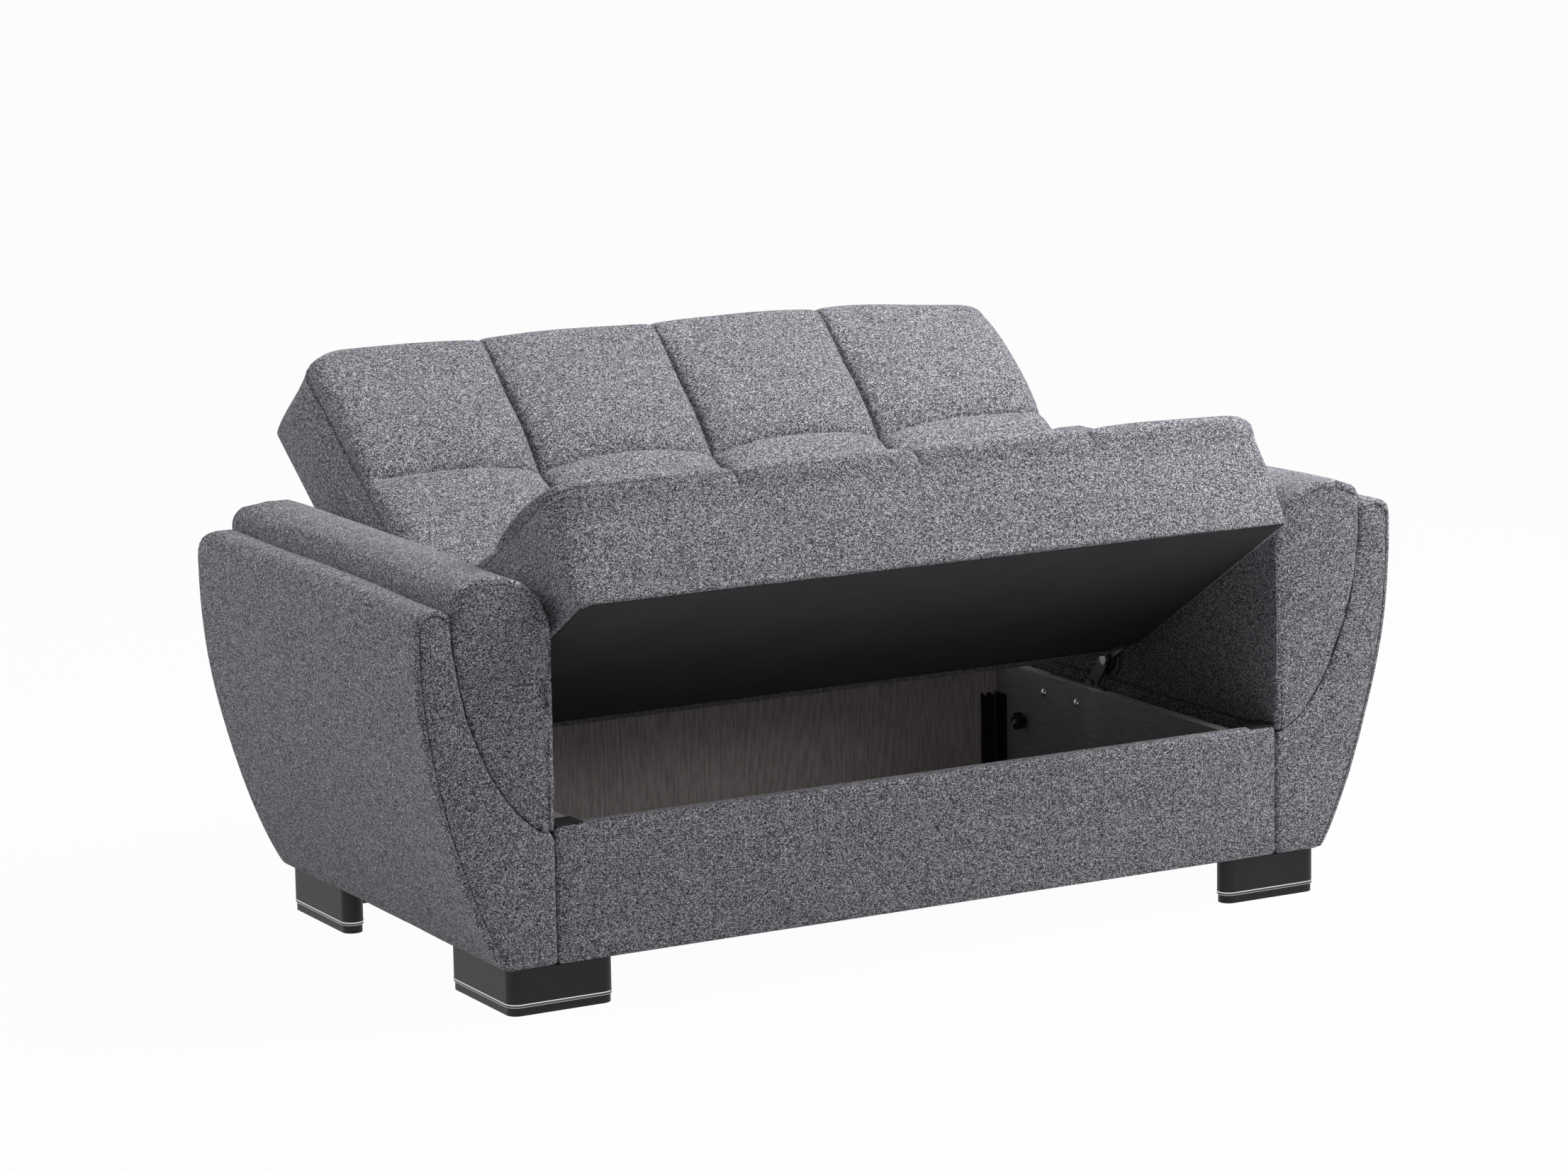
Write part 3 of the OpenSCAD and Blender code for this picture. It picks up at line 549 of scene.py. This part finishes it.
# %% Sizes of the cushions
HINGE = Vector((0, -0.034528, 0.317623))
SEAT_ANGLE, BACK_ANGLE = math.radians(31.6), math.radians(36.5)
HALF_W, W_BOTTOM, W_TOP = 0.623, -0.0073, 0.176
COLUMNS = (-HALF_W / 2, 0.0, HALF_W / 2)
START, NEAR_TOP, ROW_SPLIT = 0.06, 0.200, 0.41
CREASE_SLOPE, CREASE_BACK = math.tan(math.radians(51.95)), 0.006
PIN_GAP, PLATE_NOTCH, PLATE_X = 0.034, 0.046, (0.578, 0.587)


def lying(angle, lean):
    """The turn from the flat drawing to the cushion's place."""
    along = Vector((0, lean * math.cos(angle), math.sin(angle)))
    up = Vector((0, -lean * math.sin(angle), math.cos(angle)))
    return Matrix.Translation(HINGE) @ Matrix((Vector((1, 0, 0)), along, up)).transposed().to_4x4()


def near_end(x, w):
    """Where the cushion begins beside the crease, and behind the hinge plates."""
    foot = PIN_GAP + PLATE_NOTCH * smooth(abs(x), *PLATE_X)
    return max(foot, (w - W_BOTTOM) / CREASE_SLOPE - CREASE_BACK)


# %% What differs between seat and back
seat = SimpleNamespace(
    name="seat_cushion_cover", solid="seat_cushion", body="seat", turn=lying(SEAT_ANGLE, -1),
    length=0.582, seam_w=0.165, rim_radius=0.018, right_round=0.012, lean=0.004, bulge=0.007,
    left_full=0.002, over_rim=0.9, rim_level=0.525, seed=3.0)
back = SimpleNamespace(
    name="back_cushion_cover", solid="back_cushion", body="back", turn=lying(BACK_ANGLE, 1),
    length=0.705, seam_w=0.155, rim_radius=0.028, right_round=0.010, lean=0.024, bulge=0.014,
    left_full=0.009, over_rim=0.3, rim_level=0.855, seed=11.0)
for make in (seat, back):
    make.cross = NEAR_TOP + ROW_SPLIT * (make.length - NEAR_TOP)
    print(make.body, "has its cross seam", round(make.cross, 3), "m from the pins")

# %% [markdown]
# ## Filling
# The filling stands high between the seams and is drawn in at them, most of all where two seams
# cross. Texture displacement could do this, but a function of the place on the pad keeps each dip
# exactly at its seam. A little noise beside the seams makes the puckers of pulled fabric. The same
# function tells how much of the sewn line lies at a point, where the tweed paints shade into the
# colour of the seam's valley.

# %% Puffs between the seams
PEAK, CROWN, COLUMN_DEPTH, CROSS_DEPTH, TUFT_DEPTH = 0.012, 0.008, 0.013, 0.005, 0.023
PUFF_HALF, FAR_HALF, NEAR_HALF, TUFT_REACH = 0.155, 0.13, 0.08, 0.05
SEWN_W, SEWN_DEPTH, SEAM_DIP_W = 0.0028, 0.0045, 0.006
PUCKER, PUCKER_ACROSS, PUCKER_ALONG, PUCKER_REACH = 0.0022, 22, 95, 0.02


def shoulder(distance, half):
    """Rises fast beside a seam, then slowly to the middle of the puff."""
    t = min(1.0, distance / half)
    return 0.50 * (1 - math.exp(-distance / 0.010)) + 0.50 * (1 - (1 - t) ** 2)


def puffs(x, s, w, make):
    """The height of the puffs on the flat pad, and how much of a sewn line is there."""
    column, row = min(abs(x - c) for c in COLUMNS), abs(s - make.cross)
    side, end, down = HALF_W - abs(x), make.length - s, W_TOP - w
    across = shoulder(column, PUFF_HALF)
    beside = shoulder(row, FAR_HALF if s > make.cross else NEAR_HALF)
    side_in, end_in = smooth(side, 0.0, 0.04), smooth(end, 0.0, 0.16)
    rim_in = make.over_rim + (1 - make.over_rim) * smooth(end, 0.0, 0.02)
    level = across + (1 - across) * make.rim_level * (1 - end_in)
    lift = PEAK * level * beside * (0.45 + 0.55 * side_in)
    far = min(1.0, max(0.0, (s - make.cross) / (make.length - make.cross)))
    lift += CROWN * math.sin(math.pi * far)
    column_dip = COLUMN_DEPTH * end_in + TUFT_DEPTH * math.exp(-row / TUFT_REACH)
    cross_dip = CROSS_DEPTH + TUFT_DEPTH * math.exp(-column / TUFT_REACH)
    lift -= column_dip * (1 - across) * beside
    lift -= cross_dip * (1 - beside) * (0.3 + 0.7 * side_in)
    lift -= SEWN_DEPTH * math.exp(-column / SEAM_DIP_W) * rim_in * (1 - end_in)
    sewn = 0.5 * math.exp(-(column / SEWN_W) ** 2) * rim_in
    sewn += 0.25 * math.exp(-(row / SEWN_W) ** 2) * side_in
    sewn = min(1.0, sewn) * (1 - smooth(down, 0.0, 0.03))
    lift = (lift - SEWN_DEPTH * sewn) * (0.35 + 0.65 * smooth(s, START, START + 0.09))
    if down > TINY:
        lift *= 0.0 if side < TINY else 1 - smooth(down, 0.0, 0.05)
    by_column = noise.noise(Vector((x * PUCKER_ACROSS, s * PUCKER_ALONG, make.seed)))
    by_row = noise.noise(Vector((x * PUCKER_ALONG, s * PUCKER_ACROSS, make.seed + 7)))
    pucker = by_column * math.exp(-column / PUCKER_REACH) + by_row * math.exp(-row / PUCKER_REACH)
    return lift + PUCKER * pucker * (1 - smooth(down, 0.0, 0.035)), sewn


# %% Sides with their boxing seam
BOXING_W, BOXING_DEPTH, END_FULL, RIGHT_FULL = 0.0020, 0.0032, 0.0025, 0.009
# The last constant is the share of a sewn line that is painted as shade in the tweed's colour.
WAVE, WAVE_SCALE, WAVE_FOOT, PAINTED_SEAM_SHARE = 0.0018, 7, 0.02, 0.75


def boxing(x, s, w, make):
    """How full the pad's sides are, and the seam that runs round them."""
    side, end, down = HALF_W - abs(x), make.length - s, W_TOP - w
    if side >= TINY and end >= TINY:
        return 0.0, 0.0
    sewn, full = math.exp(-((w - make.seam_w) / BOXING_W) ** 2), END_FULL
    if end < TINY:
        sewn *= 0.7 - 0.6 * smooth(x, -0.45, 0.15)
    if side < TINY:
        on_left = make.left_full * smooth(end, 0.0, 0.06)
        full += on_left if x < 0 else RIGHT_FULL * smooth(end, 0.0, 0.02)
    return full * math.sin(math.pi * smooth(down, 0.01, 0.19)) - BOXING_DEPTH * sewn, sewn


def filling(x, s, w, make):
    """How far the filling pushes the cover out along its own direction, and how much painted shade
    its seams get.
    """
    lift, sewn = puffs(x, s, w, make)
    wave = noise.noise(Vector((x * WAVE_SCALE, s * WAVE_SCALE, w * WAVE_SCALE + make.seed)))
    lift += WAVE * wave * smooth(w, W_BOTTOM, W_BOTTOM + WAVE_FOOT)
    side_lift, side_sewn = boxing(x, s, w, make)
    return lift + side_lift, PAINTED_SEAM_SHARE * max(sewn, side_sewn)


# %% Grid of a cushion
RIM, CUSHION_STEP, BOXING_STEP = (0.004, 0.009, 0.019, 0.032), 0.0125, 0.016


def cushion_grid(make):
    """A block with its points close together beside the seams and the rims."""
    xs = stations(rim_marks(-HALF_W, HALF_W, RIM, COLUMNS), CUSHION_STEP, COLUMNS)
    ss = stations(rim_marks(START, make.length, RIM, (make.cross,)), CUSHION_STEP, (make.cross,))
    seam_rows = [make.seam_w + d for d in (-0.0035, -0.0015, 0.0, 0.0015, 0.0035)]
    ws = stations([W_BOTTOM, W_BOTTOM + 0.004, W_BOTTOM + 0.012, 0.138, 0.146, *seam_rows,
                   (seam_rows[-1] + W_TOP) / 2, W_TOP], BOXING_STEP)
    return gridded_box((xs, ss, ws))


# %% Lean and bulge of a cushion
SIDE_DRAW, ARCH, EDGE_PUFF, RIGHT_DROOP, BULGE_H = 0.002, 0.010, 0.004, 0.012, 0.17


def settled(co, x, s, w, make):
    """Moves a point along the pad: the far end bulges, the cross seam arches, the crease slopes."""
    side, end = HALF_W - abs(x), make.length - s
    pull = SIDE_DRAW * math.sin(math.pi * min(1.0, max(0.0, (s - START) / (make.length - START))))
    co.x -= math.copysign(pull * (1 - smooth(side, 0.0, 0.08)), x)
    tall = min(1.0, max(0.0, (co.z - W_BOTTOM) / BULGE_H))
    inward = smooth(side, -0.02, 0.07 if x < 0 else 0.30)
    full = make.bulge * inward * math.sin(tall * math.pi * 0.6)
    droop = make.lean * tall + RIGHT_DROOP * smooth(x, 0.30, HALF_W)
    apart = min(1.0, min(abs(x - c) for c in (*COLUMNS, -HALF_W, HALF_W)) / PUFF_HALF)
    puffed = 1 - (1 - apart) ** 2
    full += EDGE_PUFF * puffed * smooth(w, 0.05, W_TOP)
    co.y += (full - droop) * (1 - smooth(end, 0.0, 0.15))
    co.y += ARCH * puffed * (1 - smooth(abs(s - make.cross), 0.0, 0.11)) * smooth(w, 0.10, W_TOP)
    co.y += (near_end(co.x, co.z) - START) * (1 - smooth(s, START, START + 0.16))
    return co


# %% Cushions
CORNER_LOW, CORNER_LEFT, BOTTOM_ROUND = 0.006, 0.022, 0.004


def corner_radius(place, make):
    """The upright corners are sharp at the bottom, and softer toward the top."""
    soft = CORNER_LEFT if place.x < 0 else make.right_round
    return CORNER_LOW + soft * smooth(place.z, 0.0, 0.11)


def cushion(make):
    """Rounds the block, fills it, lays it in place, and shapes its near part to the crease."""
    bm = cushion_grid(make)
    flat = [v.co.copy() for v in bm.verts]
    round_box(bm, (-HALF_W, START, W_BOTTOM), (HALF_W, make.length, W_TOP),
              lambda place: corner_radius(place, make), make.rim_radius, BOTTOM_ROUND)
    bm.normal_update()
    normals = [v.normal.copy() for v in bm.verts]
    # The seam attribute holds painted shade along the seams, which the tweed multiplies into its
    # colour.
    seam_and_painted_shade = bm.verts.layers.float.new("seam")
    for v, (x, s, w), normal in zip(bm.verts, flat, normals):
        lift, v[seam_and_painted_shade] = filling(x, s, w, make)
        v.co = settled(v.co + normal * lift, x, s, w, make)
    map_cloth(bm)
    piece = finish_piece(bm, make.name, None, tweed_cover, (make.solid,), levels=1,
                         turn=make.turn)
    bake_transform(piece)


cushion(seat)
cushion(back)

# %% [markdown]
# ## Dust cover and rear cover
# A black non-woven cloth closes the seat from below, and a sheet of the tweed closes the back. Both
# are stapled flat over the steel frame. A flat plane would look like card, so each is a fine grid
# whose edge wavers, with slack between the staples, and it gets a cloth's thickness.

# %% Stapled covers
COVER_HALF, COVER_NARROW, COVER_NEAR, COVER_SHORT = 0.6125, 0.568, 0.066, 0.0035
NOTCH_END, FRAYED_X, COVER_STEP, CLOTH_T = (0.080, 0.087), (-0.606, -0.599), 0.0125, 0.0008
COVER_MARKS = (-0.609, -0.606, -0.603, -0.600, -0.597, -0.56, 0.56, 0.597, 0.603)
LAID, SAG = 0.0003, 0.0018


def cover_point(x, s, far, slack, frayed, seed):
    """A point of the cloth, whose edges waver and whose middle sags a little."""
    wide = COVER_NARROW + (COVER_HALF - COVER_NARROW) * smooth(s, *NOTCH_END)
    edge = far - 0.0012 + 0.0018 * noise.noise(Vector((x * 19, seed, 0)))
    threads = 0.011 + 0.009 * noise.noise(Vector((x * 120, seed, 4)))
    edge -= frayed * threads * (1 - smooth(x, *FRAYED_X))
    brim = wide - 0.0015 + 0.0015 * noise.noise(Vector((s * 17, seed, 9)))
    share = (s - COVER_NEAR) / (far - COVER_NEAR)
    loose = smooth(COVER_HALF - abs(x), 0.0, 0.05) * smooth(s - COVER_NEAR, 0.0, 0.05)
    loose *= smooth(far - s, 0.09, 0.15)
    crease = noise.noise(Vector((x * 5 + s * 3, s * 14 - x * 4, seed)))
    crease += 0.4 * noise.noise(Vector((x * 31, s * 31, seed)))
    return (x / COVER_HALF * brim, COVER_NEAR + share * (edge - COVER_NEAR),
            W_BOTTOM - LAID - (SAG - slack * crease) * loose)


def stapled_cover(name, make, node, material, slack, seed, frayed):
    """A cloth under the cushion, from beside the crease to the far end."""
    far = make.length - COVER_SHORT
    xs = stations([-COVER_HALF, *COVER_MARKS, COVER_HALF], COVER_STEP)
    ss = stations([COVER_NEAR, *NOTCH_END, far - 0.04, far - 0.006, far], COVER_STEP)
    bm = bmesh.new()
    bmesh.ops.create_grid(bm, x_segments=len(xs) - 1, y_segments=len(ss) - 1, size=0.5)
    for v in bm.verts:
        x, s = [marks[round((c + 0.5) * (len(marks) - 1))] for c, marks in zip(v.co, (xs, ss))]
        v.co = cover_point(x, s, far, slack, frayed, seed)
    layer = bm.loops.layers.uv.new("cloth")
    for face in bm.faces:
        for loop in face.loops:
            loop[layer].uv = (loop.vert.co.x, loop.vert.co.y)
    area = sum(face.calc_area() for face in bm.faces)
    bmesh.ops.solidify(bm, geom=bm.faces[:], thickness=CLOTH_T)
    cloth = finish_piece(bm, name, make.body, material, (node,), turn=make.turn)


stapled_cover("dust_cover_cloth", seat, "seat_dust_cover", finishes["dust_cloth"],
              slack=0.0010, seed=21.0, frayed=1.0)
stapled_cover("rear_cover_cloth", back, "back_cover", tweed_cover,
              slack=0.0007, seed=27.0, frayed=0.0)

# %% [markdown]
# ## Arms
# Each arm is two padded bodies side by side, which both run from front to rear: the shell, which
# curves out like a bow, and the taller inner pad. Both could be cut from one block, but on the real
# sofa they are covered apart and bolted together, and the deep groove between them is their main
# line. So each outline is drawn once, run back along the arm, and rolled over at its rims.

# %% Lines
LINE_STEP = 0.001


def curve(points, count):
    """Points on a curve through four control points."""
    a, b, c, d = [Vector(p) for p in points]
    spots = []
    for i in range(count + 1):
        t, u = i / count, 1 - i / count
        spots.append(u ** 3 * a + 3 * t * u ** 2 * b + 3 * t * t * u * c + t ** 3 * d)
    return spots


def even(points):
    """The same line with points at even distances."""
    spots, left = [points[0]], LINE_STEP
    for a, b in zip(points, points[1:]):
        length = (b - a).length
        while left <= length:
            spots.append(a.lerp(b, left / length))
            left += LINE_STEP
        left -= length
    return [*spots, points[-1]]


def straight(a, b):
    """A line with only its two ends."""
    return [Vector(a), Vector(b)]


# %% Outlines of the arms
seam = curve([(0.635, 0.269), (0.7045, 0.273), (0.793, 0.4297), (0.793, 0.604)], 60)
cap = curve([(0.854, 0.592), (0.854, 0.620), (0.807, 0.634), (0.793, 0.604)], 40)
bow = curve([(0.723, 0.070), (0.776, 0.146), (0.854, 0.3702), (0.854, 0.5537)], 60)
fillet = curve([(0.635, 0.258), (0.635, 0.264), (0.640, 0.2695), (0.646, 0.2700)], 6)
arch = curve([(0.635, 0.555), (0.635, 0.622), (0.6792, 0.656), (0.733, 0.656)], 40)
arch += curve([(0.733, 0.656), (0.767, 0.656), (0.793, 0.642), (0.793, 0.616)], 30)[1:]
CAP_SPLIT, SEAM_SPLIT = 14, 9
shell_sides = {
    "inner": even([Vector((0.635, 0.070)), *fillet, *[p for p in seam if p.x > 0.648]]),
    "outer": even([*bow, *cap[:CAP_SPLIT + 1]]),
    "bottom": even(straight((0.635, 0.070), (0.723, 0.070))),
    "top": even(cap[CAP_SPLIT:][::-1]),
}
pad_sides = {
    "inner": even(straight((0.635, 0.269), (0.635, 0.555))),
    "outer": even([*seam[SEAM_SPLIT:], Vector((0.793, 0.616))]),
    "bottom": even(seam[:SEAM_SPLIT + 1]),
    "top": even(arch),
}
print("outer line of the shell", round(LINE_STEP * len(shell_sides["outer"]), 3), "m")

# %% Patch between four sides
def along(points, t):
    """Point at a share of an evenly divided line."""
    place = min(1.0, max(0.0, t)) * (len(points) - 1)
    k = min(int(place), len(points) - 2)
    return points[k].lerp(points[k + 1], place - k)


def patch_point(sides, u, v):
    """Point inside four sides, blended from all of them."""
    a, b = along(sides["inner"], v), along(sides["outer"], v)
    c, d = along(sides["bottom"], u), along(sides["top"], u)
    corners = (1 - v) * ((1 - u) * sides["inner"][0] + u * sides["outer"][0])
    corners += v * ((1 - u) * sides["inner"][-1] + u * sides["outer"][-1])
    return (1 - u) * a + u * b + (1 - v) * c + v * d - corners


# %% Grid of an arm body
ARM_FRONT, ARM_D = -0.4731, 0.800
ARM_COLUMNS, ARM_ROW, ARM_RUNS = 5, 0.012, 56
RIM_STEPS = (0.0, 0.0008, 0.0028, 0.0055, 0.0082, 0.0096, 0.0106, 0.0116, 0.0130, 0.0165, 0.0220)


def graded(length, middle):
    """Distances from one end of a length to the other, close together at both."""
    last = RIM_STEPS[-1]
    run = [last + (length - 2 * last) * k / middle for k in range(1, middle)]
    return [*RIM_STEPS, *run, *(length - d for d in RIM_STEPS[::-1])]


def arm_grid(sides, soft_corners):
    """A block whose points are laid on the patch, and run back along the arm."""
    high = LINE_STEP * len(sides["inner"])
    depths, ups = graded(ARM_D, ARM_RUNS), graded(high, round(high / ARM_ROW))
    bm = gridded_box([list(range(len(row))) for row in (graded(1, ARM_COLUMNS), depths, ups)])
    for v in bm.verts:
        i, j, k = [round(c) for c in v.co]
        up = ups[k]
        wide = (along(sides["outer"], up / high) - along(sides["inner"], up / high)).length
        across = graded(wide, ARM_COLUMNS)[i]
        for right_side, radius in soft_corners:
            gap = wide - across if right_side else across
            if gap < radius and up < radius:
                gap, up = round_corner(gap, up, radius)
                across = wide - gap if right_side else gap
        spot = patch_point(sides, across / wide, up / high)
        v.co = (spot.x, depths[j], spot.y)
    bmesh.ops.recalc_face_normals(bm, faces=bm.faces)
    bm.normal_update()
    return bm


# %% Rolled rims and their sewn line
ROLL_R, ON_OUTLINE, FRONT_FULL, FRONT_WAVE = 0.009, 0.0006, 0.0020, 0.0007
SEAM_IN, SEAM_W, SEAM_DEPTH = 0.0096, 0.0010, 0.0026


def tree_of(points):
    """A search tree that finds the nearest point of an outline."""
    tree = KDTree(len(points))
    for i, p in enumerate(points):
        tree.insert((p.x, p.y, 0), i)
    tree.balance()
    return tree


def rolled(v, outline, sewn_line, seam_and_painted_shade, seed):
    """The place of a point once both ends are rolled over and drawn in at the seam."""
    reach = min(v.co.y, ARM_D - v.co.y)
    spot = Vector((v.co.x, v.co.z, 0))
    closest, _, inset = outline.find(spot)
    if inset >= ON_OUTLINE:
        outward = Vector((closest.x - spot.x, 0, closest.y - spot.y)).normalized()
    elif reach > ROLL_R:
        return v.co.copy()
    else:
        outward, inset = Vector((v.normal.x, 0, v.normal.z)).normalized(), 0.0
    rim, deep = round_corner(inset, reach, ROLL_R)
    place = v.co - outward * (rim - inset)
    if reach < TINY:
        gap = sewn_line.find(spot)[2]
        # The seam mark sinks the sewn line and also paints shade into the tweed's colour there.
        v[seam_and_painted_shade] = 0.8 * math.exp(-((gap - SEAM_IN) / SEAM_W) ** 2)
        deep += SEAM_DEPTH * v[seam_and_painted_shade] - FRONT_FULL * smooth(inset, 0.010, 0.045)
        deep -= FRONT_WAVE * noise.noise(Vector((spot.x * 26, spot.y * 26, seed)))
    place.y = deep if v.co.y < ARM_D / 2 else ARM_D - deep
    return place


# %% Arm bodies
ARM_TOP_R, INNER_FLAT, ARM_WAVE, CROWN_H = 0.045, 0.637, 0.0018, 0.13


def crown_arm(bm, crown, seed):
    """Waves the sides, rounds the top of the rear end, and lets the top rise toward it."""
    top = max(v.co.z for v in bm.verts)
    centre_y, centre_z = ARM_D - ARM_TOP_R, top - ARM_TOP_R
    bm.normal_update()
    for v in bm.verts:
        if v.co.x > INNER_FLAT:
            wave = noise.noise(Vector((v.co.x * 6, v.co.y * 6, v.co.z * 6 + seed)))
            v.co += v.normal * ARM_WAVE * wave
        if v.co.z > centre_z and v.co.y > centre_y:
            share = math.sqrt(max(0.0, 1 - ((v.co.z - centre_z) / ARM_TOP_R) ** 2))
            v.co.y = centre_y + (v.co.y - centre_y) * share
        risen = crown[0] + (crown[1] - crown[0]) * smooth(v.co.y, 0.0, 0.45)
        risen *= 1 + 0.3 * smooth(v.co.x, 0.73, 0.78)
        v.co.z += risen * smooth(v.co.z, top - CROWN_H, top)


def arm_piece(name, node, side, sides, seam_sides, soft_corners, crown, seed):
    """One padded body of an arm, drawn on the right and turned over for the left."""
    bm = arm_grid(sides, soft_corners)
    outline = tree_of(sum(sides.values(), []))
    sewn_line = tree_of(sum((sides[key] for key in seam_sides), []))
    seam_and_painted_shade = bm.verts.layers.float.new("seam")
    places = [rolled(v, outline, sewn_line, seam_and_painted_shade, seed) for v in bm.verts]
    for v, place in zip(bm.verts, places):
        v.co = place
    crown_arm(bm, crown, seed)
    bmesh.ops.scale(bm, vec=(side, 1, 1), verts=bm.verts)
    bmesh.ops.translate(bm, vec=(0, ARM_FRONT, 0), verts=bm.verts)
    map_cloth(bm)
    piece = finish_piece(bm, name, "base", tweed_cover, (node,))


for word, side, shell_crown, pad_crown in (("left", -1, (0.0, 0.006), (0.004, 0.011)),
                                           ("right", 1, (0.003, 0.0), (0.006, -0.003))):
    arm_piece("arm_shell_cover_" + word, "arm_shell_" + word, side, shell_sides, ("outer", "top"),
              ((False, 0.008), (True, 0.014)), shell_crown, 5 + side)
    arm_piece("arm_pad_cover_" + word, "arm_pad_" + word, side, pad_sides, ("top", "inner"),
              ((False, 0.009),), pad_crown, 9 + side)

# %% [markdown]
# ## Front panel
# The board that closes the storage box in front is padded and covered as the arms are. A plain
# block with bevelled edges would be near to it, but the padding makes it a little full in the
# middle, and soft along its top.

# %% Front panel
PANEL_STEP, PANEL_RIM, PANEL_FULL, PANEL_WAVE = 0.02, (0.003, 0.008), 0.002, 0.0010
PANEL_CORNER, PANEL_TOP_R, PANEL_FOOT_R = 0.008, 0.009, 0.006
low, high = [Vector(c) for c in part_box("front_panel")]
bm = gridded_box([stations(rim_marks(a, b, PANEL_RIM), PANEL_STEP) for a, b in zip(low, high)])
round_box(bm, low, high, lambda place: PANEL_CORNER, PANEL_TOP_R, PANEL_FOOT_R)
bm.normal_update()
for v in bm.verts:
    across = min(v.co.x - low.x, high.x - v.co.x)
    upright_gap = min(v.co.z - low.z, high.z - v.co.z)
    full = PANEL_FULL * smooth(across, 0, 0.08) * smooth(upright_gap, 0, 0.05)
    v.co.y += v.normal.y * (full + PANEL_WAVE * noise.noise(v.co * 9))
map_cloth(bm)
front_cover = finish_piece(bm, "front_panel_cover", "base", tweed_cover,
                           ("front_panel",), levels=1)
